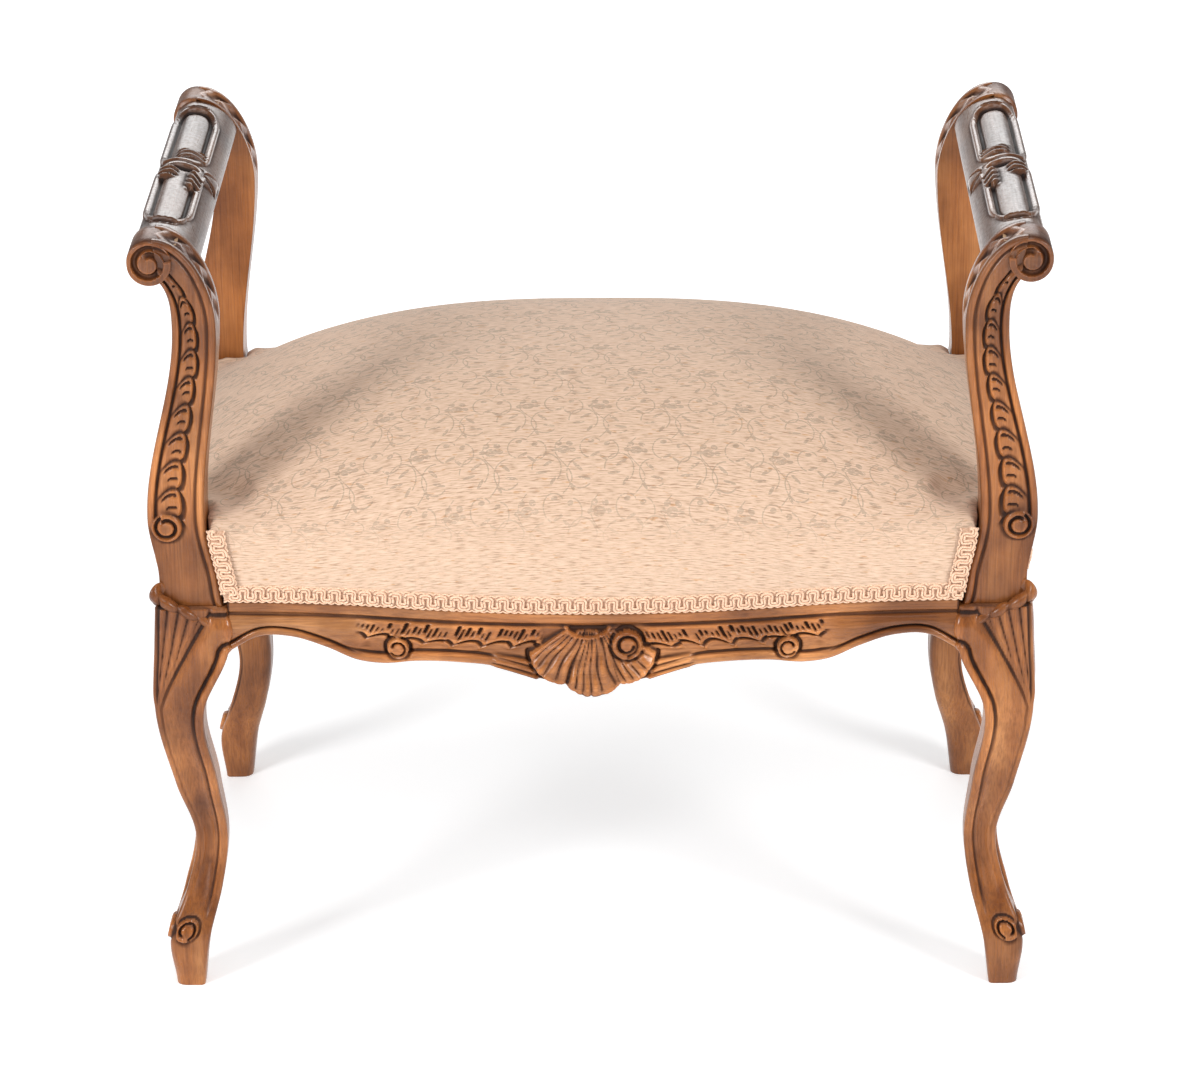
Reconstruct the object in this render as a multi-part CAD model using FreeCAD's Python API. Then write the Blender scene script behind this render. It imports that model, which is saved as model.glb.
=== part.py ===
"""Window seat: a stuffed seat between two roll arms, on four cabriole legs.

Millimetres, Z up. The origin is on the floor under the middle of the seat, X runs along the
seat and the front faces -Y. Every piece is drawn in the front right quarter and mirrored.
"""
import FreeCAD
import Part
import math
import os

V = FreeCAD.Vector

# Plan of the frame, measured from the middle of the seat
head_half_width = 369.0
head_half_depth = 227.0
head_side = 60.5
rail_setback = 3.0
front_bow = 28.0
front_swell_half = 165.0
side_bow = 6.0
side_swell_half = 85.0

# Heights of the frame
head_base = 320.0
head_top = 358.0
show_line = 364.0
rail_top = 392.0

# Cabriole leg: thickness, and how far the outer faces swing out beyond the head
foot_side = 25.0
foot_swing = -2.0
pad_height = 48.0
pad_side = 34.5
pad_swing = 1.0
shin_height = 86.0
shin_side = 30.5
shin_swing = -13.0
ankle_height = 130.0
ankle_side = 27.5
ankle_swing = -22.5
calf_height = 190.0
calf_side = 36.0
calf_swing = -9.0
knee_height = 268.0
knee_side = 42.5
knee_swing = 4.5
shoulder_swing = 2.0
back_draw_in = 7.0

# Lip of the knee carving, which stands in front of the arm post
lip_height = 18.0
lip_flare = 3.0
lip_fall = 0.25

# Arm post: an S-shaped board with a volute at its top
post_face_half_depth = 220.0
post_thickness = 40.0
post_set_in = 3.0
post_foot_width = 54.0
post_belly_height = 80.0
post_belly_width = 47.5
post_belly_swing = 4.0
post_neck_height = 250.0
post_neck_width = 36.0
post_neck_swing = -24.0
post_collar_height = 34.0
eye_height = 305.0
eye_set_in = 10.0
volute_reach = 21.0
volute_under = 18.5
post_tenon_width = 18.0
post_tenon_depth = 18.0
post_tenon_length = 24.0
post_tenon_set_in = 18.0
post_tenon_set_back = 15.0

# Roll arm between a front and a back volute
arm_inset = 2.5
arm_inner_drop = 14.0
arm_inner_reach = 42.0
arm_underside_drop = 22.0
arm_underside_reach = 34.0
arm_tongue_width = 14.0
arm_tongue_height = 24.0
arm_tongue_length = 50.0
arm_tongue_set_in = 12.0

# Seat rails: thickness, moulded face and tenons
rail_thickness = 34.0
cover_rebate = 7.0
fillet_height = 10.0
fillet_quirk = 3.0
swell_height = 26.0
swell_reach = 3.0
apron_set_back = 2.0
apron_thickness = 18.0
webbing_seat = 338.0
tenon_thickness = 10.0
tenon_low = 326.0
tenon_high = 350.0
tenon_length = 26.0
tenon_root = 8.0
glue_gap = 0.2

# Sawn lower edge of the rails
joint_edge = 318.0
arch_edge = 333.0
boss_edge = 312.0
frieze_edge = 315.0
front_arch_reach = 52.0
front_boss_reach = 124.0
front_shell_half_width = 58.0
front_shell_edge = 291.0
side_arch_reach = 40.0
side_boss_reach = 88.0
side_shell_half_width = 38.0
side_shell_edge = 303.0

# Corner blocks, glued to the rails behind each leg
block_height = 30.0
block_low = 346.0
block_leg = 52.0

# Webbing, springs and canvas inside the seat
strap_width = 50.0
strap_thickness = 1.5
strap_end_gap = 2.0
cross_strap_count = 5
cross_strap_pitch = 108.0
long_strap_count = 3
long_strap_pitch = 100.0
bottom_cloth_thickness = 0.8
spring_columns = 2
spring_rows = 2
spring_column_pitch = 240.0
spring_row_pitch = 140.0
spring_end_radius = 30.0
spring_waist_radius = 21.0
spring_wire_radius = 1.8
spring_turns = 2
canvas_height = 430.0
canvas_thickness = 1.0
canvas_slope_end = 95.0
canvas_slope_front = 86.0
canvas_hem_end = 21.0
canvas_hem_front = 8.0

# Stuffed seat: border, crown and cover
seat_crown = 526.0
crown_end_radius = 866.0
crown_corner_radius = 791.0
shoulder_top = 536.0
shoulder_radius = 340.0
border_middle = 402.0
border_swell = 5.0
border_top = 434.0
border_lean = 6.0
pad_corner = 58.0
cover_thickness = 1.5
post_clearance = 1.0

# Braid glued over the edge of the cover
gimp_width = 16.0
gimp_thickness = 3.0
gimp_climb = 66.0

joint_x = head_half_width - head_side
joint_y = head_half_depth - head_side
front_face = head_half_depth - rail_setback
side_face = head_half_width - rail_setback
up = V(0, 0, 1)
half_root = math.sqrt(0.5)


def line(a, b):
    return Part.LineSegment(a, b).toShape()


def arc(a, middle, b):
    return Part.Arc(a, middle, b).toShape()


def biarc(p0, t0, p1, t1):
    """Two arcs that leave p0 along t0 and reach p1 along t1."""
    v = p1 - p0
    t = t0 + t1
    spread = 2 * (1 - t0.dot(t1))
    reach = v.dot(v) / (math.sqrt(v.dot(t) ** 2 + spread * v.dot(v)) + v.dot(t))
    joint = (p0 + p1 + (t0 - t1) * reach) * 0.5
    edges = []
    for a, corner, b in ((p0, p0 + t0 * reach, joint), (joint, p1 - t1 * reach, p1)):
        weight = math.cos((corner - a).getAngle(b - a))
        edges.append(arc(a, (a + corner * (2 * weight) + b) * (1 / (2 + 2 * weight)), b))
    return edges


def sawn(points, directions=None):
    """Arcs that run smoothly through points; a direction may be set at each (None where it is free)."""
    tangents = list(directions or [None] * len(points))
    chords = [(b - a).normalize() for a, b in zip(points, points[1:])]
    for i, tangent in enumerate(tangents):
        if tangent is not None:
            tangents[i] = V(tangent).normalize()
        elif 0 < i < len(chords):
            tangents[i] = (chords[i - 1] + chords[i]).normalize()
    for end, near in ((0, 1), (-1, -2)):
        if tangents[end] is None:
            tangents[end] = chords[end] * (2 * chords[end].dot(tangents[near])) - tangents[near]
    edges = []
    for i in range(len(chords)):
        edges += biarc(points[i], tangents[i], points[i + 1], tangents[i + 1])
    return edges


def prism(edges, direction):
    return Part.Face(Part.Wire(edges)).extrude(direction)


def polygon_prism(corners, direction):
    return Part.Face(Part.makePolygon(corners + corners[:1])).extrude(direction)


def box(x, y, z):
    """A box between two values on each axis."""
    corner = V(min(x), min(y), min(z))
    return Part.makeBox(abs(x[1] - x[0]), abs(y[1] - y[0]), abs(z[1] - z[0]), corner)


def mirrored(shape, to_left, to_back):
    if to_left:
        shape = shape.mirror(V(0, 0, 0), V(1, 0, 0))
    if to_back:
        shape = shape.mirror(V(0, 0, 0), V(0, 1, 0))
    return shape


CORNERS = {
    "front_right": (False, False),
    "front_left": (True, False),
    "back_right": (False, True),
    "back_left": (True, True),
}


# Cabriole leg: the same S is sawn on two faces of the blank

def leg_view(face, draw_in):
    """Outline of a leg seen square on, at its distance from the middle of the seat."""
    stations = [
        (0, foot_swing - draw_in, foot_side),
        (pad_height, pad_swing - draw_in, pad_side),
        (shin_height, shin_swing - draw_in, shin_side),
        (ankle_height, ankle_swing - draw_in, ankle_side),
        (calf_height, calf_swing - draw_in, calf_side),
        (knee_height, knee_swing - draw_in / 2, knee_side),
        (head_base, shoulder_swing, head_side + shoulder_swing),
    ]
    outer = [V(face + swing, 0, z) for z, swing, side in stations]
    inner = [V(face + swing - side, 0, z) for z, swing, side in stations]
    brow = V(face, 0, head_top)
    rim = V(face + lip_flare, 0, head_top + lip_height)
    inside = V(face - head_side, 0, head_top + lip_height)
    return Part.Face(Part.Wire([
        *sawn(outer),
        line(outer[-1], brow),
        line(brow, rim),
        line(rim, inside),
        line(inside, inner[-1]),
        *sawn(inner[::-1]),
        line(inner[0], outer[0]),
    ]))


def leg(draw_in):
    front_view = leg_view(head_half_width, draw_in).extrude(V(0, -2 * head_half_depth, 0))
    side_view = leg_view(head_half_depth, 0).rotated(V(0, 0, 0), up, -90).extrude(V(2 * head_half_width, 0, 0))
    shape = front_view.common(side_view)

    # The lip stays outside the arm post and falls away towards the rails
    over = head_top + 2 * lip_height
    inside = (joint_x - 1, head_half_width - post_set_in)
    behind = (-post_face_half_depth, -joint_y + 1)
    shape = shape.cut(box(inside, behind, (head_top, over)))
    rim = V(head_half_width + lip_flare, -head_half_depth - lip_flare, head_top + lip_height)
    reach = head_side + 2 * lip_flare
    along_x = V(-reach, 0, -reach * lip_fall)
    along_y = V(0, reach, -reach * lip_fall)
    slope = [rim, rim + along_x, rim + along_x + along_y, rim + along_y]
    waste = polygon_prism(slope, V(0, 0, 3 * lip_height))
    shape = shape.cut(waste.common(box((0, over), (0, -over), (head_top, over))))

    for mortise in (front_tenon(glue_gap), side_tenon(glue_gap), post_tenon(glue_gap)):
        shape = shape.cut(mortise)
    return shape


# Tenons; the mortises are the same boxes with the glue gap added

def front_tenon(gap):
    middle = -front_face + rail_thickness / 2
    half = tenon_thickness / 2 + gap
    return box((joint_x - tenon_root, joint_x + tenon_length + gap), (middle - half, middle + half),
               (tenon_low - gap, tenon_high + gap))


def side_tenon(gap):
    middle = side_face - rail_thickness / 2
    half = tenon_thickness / 2 + gap
    return box((middle - half, middle + half), (-joint_y + tenon_root, -joint_y - tenon_length - gap),
               (tenon_low - gap, tenon_high + gap))


def post_tenon(gap):
    x = head_half_width - post_tenon_set_in
    y = -post_face_half_depth + post_tenon_set_back
    half_x = post_tenon_width / 2 + gap
    half_y = post_tenon_depth / 2 + gap
    return box((x - half_x, x + half_x), (y - half_y, y + half_y), (head_top - post_tenon_length - gap, head_top))


# Arm post

def eye():
    return V(head_half_width - eye_set_in, -post_face_half_depth, head_top + eye_height)


def post_point(swing, width, height):
    """A point on the inner edge of the post."""
    return V(head_half_width + swing - width, -post_face_half_depth, head_top + height)


def post_inner_points():
    return [
        post_point(-post_set_in, post_foot_width, 0),
        post_point(post_belly_swing, post_belly_width, post_belly_height),
        post_point(post_neck_swing, post_neck_width, post_neck_height),
    ]


def post_inner_directions():
    return [V(0.3, 0, 1), up, up]


def arm_post():
    inner = post_inner_points()
    crest = eye() + V(0, 0, volute_reach)
    over = eye() + V(volute_reach * half_root, 0, volute_reach * half_root)
    outermost = eye() + V(volute_reach, 0, 0)
    under_middle = outermost - V(volute_under, 0, 0)
    below = under_middle + V(volute_under * half_root, 0, -volute_under * half_root)
    turn_in = under_middle + V(-volute_under / 2, 0, -volute_under * math.sqrt(0.75))
    neck = inner[2] + V(post_neck_width, 0, 0)
    belly = inner[1] + V(post_belly_width, 0, 0)
    foot = inner[0] + V(post_foot_width, 0, 0)
    collar = foot + V(0, 0, post_collar_height)
    shape = prism([
        *sawn(inner + [crest], post_inner_directions() + [V(1, 0, 0)]),
        arc(crest, over, outermost),
        arc(outermost, below, turn_in),
        *sawn([turn_in, neck, belly, collar], [None, -up, -up, None]),
        line(collar, foot),
        line(foot, inner[0]),
    ], V(0, post_thickness, 0))

    return shape.fuse(post_tenon(0)).cut(arm_tongue(glue_gap))


# Roll arm and the tongues that join it to the posts

def arm_end():
    return -post_face_half_depth + post_thickness


def arm_tongue(gap):
    x = eye().x - arm_tongue_set_in
    half_x = arm_tongue_width / 2 + gap
    half_y = arm_tongue_length / 2 + gap
    half_z = arm_tongue_height / 2 + gap
    return box((x - half_x, x + half_x), (arm_end() - half_y, arm_end() + half_y),
               (eye().z - half_z, eye().z + half_z))


def arm_rail():
    middle = V(eye().x, arm_end(), eye().z)
    radius = volute_reach - arm_inset
    crest = middle + V(0, 0, radius)
    outermost = middle + V(radius, 0, 0)
    inner = middle + V(-arm_inner_reach, 0, -arm_inner_drop)
    heel = middle + V(-arm_underside_reach, 0, -arm_underside_drop)
    toe = middle + V(radius * half_root, 0, -radius * half_root)
    shape = prism([
        arc(outermost, middle + V(radius * half_root, 0, radius * half_root), crest),
        *sawn([crest, inner], [V(-1, 0, 0), V(-0.3, 0, -1)]),
        line(inner, heel),
        line(heel, toe),
        arc(toe, middle + V(radius * math.cos(math.pi / 8), 0, -radius * math.sin(math.pi / 8)), outermost),
    ], V(0, -2 * arm_end(), 0))
    return shape.cut(arm_tongue(glue_gap)).cut(mirrored(arm_tongue(glue_gap), False, True))


# Seat rails, drawn for the front and turned a quarter for the sides

class Serpentine:
    """A line of three arcs: hollow beside the legs, swelling in the middle."""

    def __init__(self, half_span, bow, swell_half):
        self.half_span = half_span
        self.bow = bow
        self.swell_half = swell_half
        self.turn = 2 * math.atan(bow / half_span)
        self.middle_radius = swell_half / math.sin(self.turn)
        self.end_radius = (half_span - swell_half) / math.sin(self.turn)

    def out(self, x):
        """How far the line stands out beyond its ends."""
        x = abs(x)
        if x <= self.swell_half:
            return self.bow - self.middle_radius + math.sqrt(self.middle_radius ** 2 - x ** 2)
        return self.end_radius - math.sqrt(self.end_radius ** 2 - (self.half_span - x) ** 2)

    def arcs(self, place):
        """The three arcs, with place(along, out) giving points."""
        stops = [-self.half_span, -self.swell_half, self.swell_half, self.half_span]
        edges = []
        for a, b in zip(stops, stops[1:]):
            edges.append(arc(*[place(x, self.out(x)) for x in (a, (a + b) / 2, b)]))
        return edges


def front_line():
    return Serpentine(joint_x, front_bow, front_swell_half)


def side_line():
    return Serpentine(joint_y, side_bow, side_swell_half)


def moulding(face, low):
    """Section of a rail: swelling face, apron, seat for the webbing and rebate for the cover."""
    swell_top = show_line - fillet_height
    swell_low = swell_top - swell_height
    corners = [
        (0, show_line),
        (0, swell_top),
        (-fillet_quirk, swell_top),
        (swell_reach, swell_low),
        (-apron_set_back, swell_low),
        (-apron_set_back, low),
        (-apron_thickness, low),
        (-apron_thickness, webbing_seat),
        (-rail_thickness, webbing_seat),
        (-rail_thickness, rail_top),
        (-cover_rebate, rail_top),
        (-cover_rebate, show_line),
    ]
    points = [V(0, -face - out, z) for out, z in corners]
    return Part.Face(Part.makePolygon(points + points[:1]))


def sawn_edge(half_span, arch_reach, boss_reach, shell_half_width, shell_edge, low, depth):
    """The waste under a rail: arches beside the legs, a scroll each side, and a drop in the middle."""
    flat = V(-1, 0, 0)
    joint = V(half_span, 0, joint_edge)
    arch = V(half_span - arch_reach, 0, arch_edge)
    boss = V(half_span - boss_reach, 0, boss_edge)
    frieze = V(shell_half_width, 0, frieze_edge)
    tip = V(0, 0, shell_edge)
    below = V(0, 0, low)
    outside = V(half_span, 0, low)
    half = prism([
        *sawn([joint, arch, boss], [None, flat, flat]),
        line(boss, frieze),
        *sawn([frieze, tip], [flat, flat]),
        line(tip, below),
        line(below, outside),
        line(outside, joint),
    ], V(0, -depth, 0))
    return half.fuse(mirrored(half, True, False))


def rail(plan, face, edge):
    """One rail: its section turned through three arcs, then sawn along the lower edge."""
    low = min(edge["shell_edge"], boss_edge) - 1
    turn = math.degrees(plan.turn)
    axis = V(0, plan.middle_radius - face - plan.bow, 0)
    body = moulding(face + plan.bow, low).rotated(axis, up, -turn).revolve(axis, up, 2 * turn)
    axis = V(plan.half_span, -face - plan.end_radius, 0)
    end = moulding(face, low).translated(V(plan.half_span, 0, 0)).revolve(axis, up, turn)
    body = body.fuse([end, mirrored(end, True, False)])
    depth = face + plan.bow + 2 * swell_reach
    return body.cut(sawn_edge(plan.half_span, low=low - 1, depth=depth, **edge))


def front_rail():
    shape = rail(front_line(), front_face, dict(
        arch_reach=front_arch_reach, boss_reach=front_boss_reach,
        shell_half_width=front_shell_half_width, shell_edge=front_shell_edge))
    for to_left in (False, True):
        shape = shape.fuse(mirrored(front_tenon(0), to_left, False))
    return shape.removeSplitter()


def side_rail():
    shape = rail(side_line(), side_face, dict(
        arch_reach=side_arch_reach, boss_reach=side_boss_reach,
        shell_half_width=side_shell_half_width, shell_edge=side_shell_edge))
    shape = shape.rotated(V(0, 0, 0), up, 90)
    for to_back in (False, True):
        shape = shape.fuse(mirrored(side_tenon(0), False, to_back))
    return shape.removeSplitter()


# Corner blocks

def corner_block(front, side, corner_leg):
    """A three-cornered block, cut to the backs of both rails and round the corner of the leg."""
    half = rail_thickness / 2
    y_back = -front_face + half
    x_back = side_face - half
    corners = [V(x_back, y_back, block_low), V(x_back, -joint_y + block_leg, block_low),
               V(joint_x - block_leg, y_back, block_low)]
    shape = polygon_prism(corners, V(0, 0, block_height))
    for neighbour in (front, side, corner_leg):
        shape = shape.cut(neighbour)
    return max(shape.Solids, key=lambda solid: solid.Volume)


# Webbing, springs, canvas and the cloth under the seat

def steps(count, pitch):
    return [(i - (count - 1) / 2) * pitch for i in range(count)]


def cross_webbing():
    """Straps from the front rail to the back rail, tacked up under the rails."""
    half = strap_width / 2
    straps = []
    for x in steps(cross_strap_count, cross_strap_pitch):
        reach = front_face + front_line().out(abs(x) + half) - apron_thickness - strap_end_gap
        straps.append(box((x - half, x + half), (-reach, reach), (webbing_seat - strap_thickness, webbing_seat)))
    return Part.makeCompound(straps)


def long_webbing():
    """Straps from side to side, lying over the cross straps and tacked to the backs of the rails."""
    half = strap_width / 2
    straps = []
    for y in steps(long_strap_count, long_strap_pitch):
        reach = side_face - rail_thickness + side_line().out(abs(y) + half)
        straps.append(box((-reach, reach), (y - half, y + half), (webbing_seat, webbing_seat + strap_thickness)))
    return Part.makeCompound(straps)


def bottom_cloth(legs):
    """Cloth tacked up under the webbing and cut round the legs."""
    low = webbing_seat - strap_thickness - bottom_cloth_thickness
    shape = Part.Face(pad_outline(low, -apron_thickness - strap_end_gap)).extrude(V(0, 0, bottom_cloth_thickness))
    for one in legs:
        shape = shape.cut(one)
    return max(shape.Solids, key=lambda solid: solid.Volume)


def spring_point(turn):
    """A point of the wire's middle line, turn by turn, drawn in at the waist."""
    share = turn / spring_turns
    radius = spring_waist_radius + (spring_end_radius - spring_waist_radius) * math.cos(math.pi * share) ** 2
    angle = 2 * math.pi * turn
    low = webbing_seat + strap_thickness + spring_wire_radius
    high = canvas_height - canvas_thickness - spring_wire_radius
    return V(radius * math.cos(angle), radius * math.sin(angle), low + share * (high - low))


def spring():
    """An hourglass spring of square wire."""
    step = 0.001
    halves = range(2 * spring_turns + 1)
    points = [spring_point(i / 2) for i in halves]
    tangents = [(spring_point(i / 2 + step) - spring_point(i / 2 - step)).normalize() for i in halves]
    edges = []
    for i in halves[:-1]:
        edges += biarc(points[i], tangents[i], points[i + 1], tangents[i + 1])
    side = tangents[0].cross(up).normalize() * spring_wire_radius
    rise = side.cross(tangents[0]).normalize() * spring_wire_radius
    corners = [points[0] + side + rise, points[0] + side - rise, points[0] - side - rise, points[0] - side + rise]
    return Part.Wire(edges).makePipeShell([Part.makePolygon(corners + corners[:1])], True, False)


def least_spring_gap():
    """The least clear distance between one turn of the wire and the next."""
    around = 24
    points = [spring_point(i / around) for i in range(around * spring_turns + 1)]
    gaps = []
    for i, point in enumerate(points):
        gaps += [point.distanceToPoint(other) for other in points[i + around // 2:]]
    return min(gaps) - 2 * spring_wire_radius


def seat_springs():
    one = spring()
    places = []
    for x in steps(spring_columns, spring_column_pitch):
        places += [one.translated(V(x, y, 0)) for y in steps(spring_rows, spring_row_pitch)]
    return Part.makeCompound(places)


def canvas_form():
    """The room under the canvas, which slopes from the springs down to the rails."""
    hem_x = side_face - canvas_hem_end
    hem_y = front_face - canvas_hem_front
    x = hem_x - canvas_slope_end
    y = hem_y - canvas_slope_front
    wedge = Part.makeWedge(-hem_x, rail_top, -hem_y, -y, -x, hem_x, canvas_height, hem_y, y, x)
    return wedge.rotated(V(0, 0, 0), V(1, 0, 0), 90)


def spring_canvas():
    return notched(canvas_form().cut(canvas_form().translated(V(0, 0, -canvas_thickness))))


# Stuffed seat, its cover and its braid

def pad_outline(z, grow):
    """Plan of the seat at one height: the line of the rails, moved out by grow, with rounded corners."""
    x = side_face + grow
    y = front_face + grow
    corner_radius = pad_corner + grow
    turn = corner_radius * (1 - half_root)
    front = Serpentine(side_face - pad_corner, front_bow, front_swell_half)
    side = Serpentine(front_face - pad_corner, side_bow, side_swell_half)
    edges = []
    for i, (line_of, reach) in enumerate(((front, y), (side, x), (front, y), (side, x))):
        angle = math.radians(90 * i)
        along = V(math.cos(angle), math.sin(angle), 0)
        outward = V(math.sin(angle), -math.cos(angle), 0)
        edges += line_of.arcs(lambda t, out: along * t + outward * (reach + out) + V(0, 0, z))
        other = x if reach == y else y
        corner = along * other + outward * reach + V(0, 0, z)
        edges.append(arc(corner - along * corner_radius, corner - along * turn - outward * turn,
                         corner - outward * corner_radius))
    return Part.Wire(edges)


def border_form(grow):
    """Sides of the seat: drawn in at the braid, swelling above it, and leaning in again."""
    return Part.makeLoft([
        pad_outline(show_line, grow),
        pad_outline(border_middle, grow + border_swell),
        pad_outline(border_top, grow - border_lean),
        pad_outline(shoulder_top, grow - 2 * border_lean),
    ], True, True)


def roll(radius, top, angle):
    """A long round bar lying across the seat at an angle to X, with its top line at one height."""
    along = V(math.cos(angle), math.sin(angle), 0)
    start = V(0, 0, top - radius) - along * 2 * side_face
    return Part.makeCylinder(radius, 4 * side_face, start, along)


def crown_form(grow):
    """The domed top: rounded to the front and back, to the two ends and to the four corners."""
    corner_angle = math.pi / 2 + math.atan2(joint_y, joint_x)
    ends = roll(crown_end_radius + grow, seat_crown + grow, math.pi / 2)
    corners = [roll(crown_corner_radius + grow, seat_crown + grow, angle) for angle in (corner_angle, -corner_angle)]
    shape = roll(shoulder_radius + grow, shoulder_top + grow, 0)
    for bar in [ends] + corners:
        shape = shape.common(bar)
    return shape


def pad_form(grow):
    return border_form(grow).common(crown_form(grow))


def post_notch():
    """Room for an arm post and everything outside it."""
    inner = [p + V(-post_clearance, -head_half_depth, 0) for p in post_inner_points()]
    low = V(inner[0].x, inner[0].y, show_line - rail_thickness)
    far = V(2 * head_half_width, inner[0].y, 0)
    shape = prism([
        line(low, inner[0]),
        *sawn(inner, post_inner_directions()),
        line(inner[2], V(far.x, far.y, inner[2].z)),
        line(V(far.x, far.y, inner[2].z), V(far.x, far.y, low.z)),
        line(V(far.x, far.y, low.z), low),
    ], V(0, arm_end() + post_clearance - low.y, 0))
    return shape


def notched(shape):
    notch = post_notch()
    return shape.cut([mirrored(notch, to_left, to_back) for to_left, to_back in CORNERS.values()])


def seat_stuffing(inner, rails):
    """Hair stuffing over the canvas and round the rails."""
    well_x = side_face - rail_thickness / 2
    well_y = front_face - rail_thickness / 2
    well = box((-well_x, well_x), (-well_y, well_y), (show_line, rail_top))
    return notched(inner.cut(rails + [well, canvas_form()]))


def front_gimp(band):
    """Braid along the front, turned up beside each arm post."""
    foot, belly = post_inner_points()[:2]
    near = -2 * front_face
    low = V(foot.x - post_clearance, near, show_line)
    high = V(belly.x - post_clearance, near, show_line + gimp_climb)
    across = V(gimp_width, 0, 0)
    climb = polygon_prism([low, high, high - across, low - across], V(0, -near - joint_y, 0))
    run = box((-low.x, low.x), (near, -joint_y), (show_line, show_line + gimp_width))
    return band.common(run.fuse([climb, mirrored(climb, True, False)])).removeSplitter()


def side_gimp(band):
    """Braid along the side, turned up behind each arm post."""
    reach = -arm_end() - post_clearance
    out = (joint_x, 2 * side_face)
    run = box(out, (-reach, reach), (show_line, show_line + gimp_width))
    climb = box(out, (-reach, -reach + gimp_width), (show_line, show_line + gimp_climb))
    return band.common(run.fuse([climb, mirrored(climb, False, True)])).removeSplitter()


def build():
    nodes = {}
    legs = {False: leg(0), True: leg(back_draw_in)}
    post = arm_post()
    front = front_rail()
    side = side_rail()
    block = corner_block(front, side, legs[False])
    for corner, (to_left, to_back) in CORNERS.items():
        nodes["leg_" + corner] = mirrored(legs[to_back], to_left, to_back)
        nodes["arm_post_" + corner] = mirrored(post, to_left, to_back)
        nodes["corner_block_" + corner] = mirrored(block, to_left, to_back)
    nodes["front_rail"] = front
    nodes["back_rail"] = mirrored(front, False, True)
    nodes["right_rail"] = side
    nodes["left_rail"] = mirrored(side, True, False)

    nodes["arm_rail_right"] = arm_rail()
    nodes["arm_rail_left"] = mirrored(arm_rail(), True, False)
    nodes["arm_tongues"] = Part.makeCompound([mirrored(arm_tongue(0), *sides) for sides in CORNERS.values()])

    nodes["cross_webbing"] = cross_webbing()
    nodes["long_webbing"] = long_webbing()
    nodes["bottom_cloth"] = bottom_cloth([nodes["leg_" + corner] for corner in CORNERS])
    nodes["seat_springs"] = seat_springs()
    nodes["spring_canvas"] = spring_canvas()

    outer = pad_form(0)
    inner = pad_form(-cover_thickness)
    nodes["seat_cover"] = notched(outer.cut(inner))
    nodes["seat_stuffing"] = seat_stuffing(inner, [front, nodes["back_rail"], side, nodes["left_rail"]])
    band = border_form(gimp_thickness).cut(border_form(0))
    nodes["gimp_front"] = front_gimp(band)
    nodes["gimp_back"] = mirrored(nodes["gimp_front"], False, True)
    nodes["gimp_right"] = side_gimp(band)
    nodes["gimp_left"] = mirrored(nodes["gimp_right"], True, False)
    return nodes


os.makedirs("parts", exist_ok=True)
print("least gap between the turns of a spring: %.2f mm" % least_spring_gap())
for name, shape in build().items():
    shape.exportStep("parts/" + name + ".step")
    print("%-26s solids %2d  volume %9.0f  valid %s" % (name, len(shape.Solids), shape.Volume, shape.isValid()))
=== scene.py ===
import bpy
import math
import numpy as np
from mathutils import Matrix, Vector


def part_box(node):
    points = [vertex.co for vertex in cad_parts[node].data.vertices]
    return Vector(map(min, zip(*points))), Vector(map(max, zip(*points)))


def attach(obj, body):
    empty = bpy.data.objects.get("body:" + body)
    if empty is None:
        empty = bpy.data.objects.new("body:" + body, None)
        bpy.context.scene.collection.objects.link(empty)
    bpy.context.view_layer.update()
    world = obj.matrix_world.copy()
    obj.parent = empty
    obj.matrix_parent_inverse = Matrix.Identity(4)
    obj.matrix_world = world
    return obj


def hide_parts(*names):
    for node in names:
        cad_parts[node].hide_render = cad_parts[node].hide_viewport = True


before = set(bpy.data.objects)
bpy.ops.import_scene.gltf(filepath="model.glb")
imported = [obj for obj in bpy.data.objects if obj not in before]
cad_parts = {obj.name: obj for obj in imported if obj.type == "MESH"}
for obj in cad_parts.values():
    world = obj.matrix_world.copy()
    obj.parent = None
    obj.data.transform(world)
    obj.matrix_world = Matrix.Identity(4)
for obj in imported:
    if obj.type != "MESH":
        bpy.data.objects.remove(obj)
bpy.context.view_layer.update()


# Walnut, the wood of the whole show frame: mid brown with a darker grain, polished with wax.
# The hollows of the carving are darkened, partly for the wax and dirt they hold and partly as painted shade;
# the ridges are lightened, partly rubbed pale and partly as a painted highlight.

def tree_of(name):
    """A new material, its node tree and its shader."""
    material = bpy.data.materials.new(name)
    material.use_nodes = True
    tree = material.node_tree
    return material, tree, tree.nodes["Principled BSDF"]


def ramp(tree, value, stops):
    """A colour, or a plain number, for each place along a value."""
    node = tree.nodes.new("ShaderNodeValToRGB")
    elements = node.color_ramp.elements
    while len(elements) < len(stops):
        elements.new(0.5)
    for element, (place, colour) in zip(elements, stops):
        element.position = place
        element.color = (*colour, 1) if isinstance(colour, tuple) else (colour, colour, colour, 1)
    tree.links.new(value, node.inputs["Fac"])
    return node.outputs["Color"]


def noise(tree, vector, scale, detail):
    node = tree.nodes.new("ShaderNodeTexNoise")
    node.inputs["Scale"].default_value = scale
    node.inputs["Detail"].default_value = detail
    node.inputs["Roughness"].default_value = 0.55
    tree.links.new(vector, node.inputs["Vector"])
    return node.outputs["Fac"]


def given(tree, name, output):
    """What the mesh gives for each of its points under a name."""
    node = tree.nodes.new("ShaderNodeAttribute")
    node.attribute_name = name
    return node.outputs[output]


def stretched(tree, scale):
    """Places on the object, in metres, scaled along each axis."""
    place = tree.nodes.new("ShaderNodeTexCoord")
    mapping = tree.nodes.new("ShaderNodeMapping")
    mapping.inputs["Scale"].default_value = scale
    tree.links.new(place.outputs["Object"], mapping.inputs["Vector"])
    return mapping.outputs["Vector"]


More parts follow.
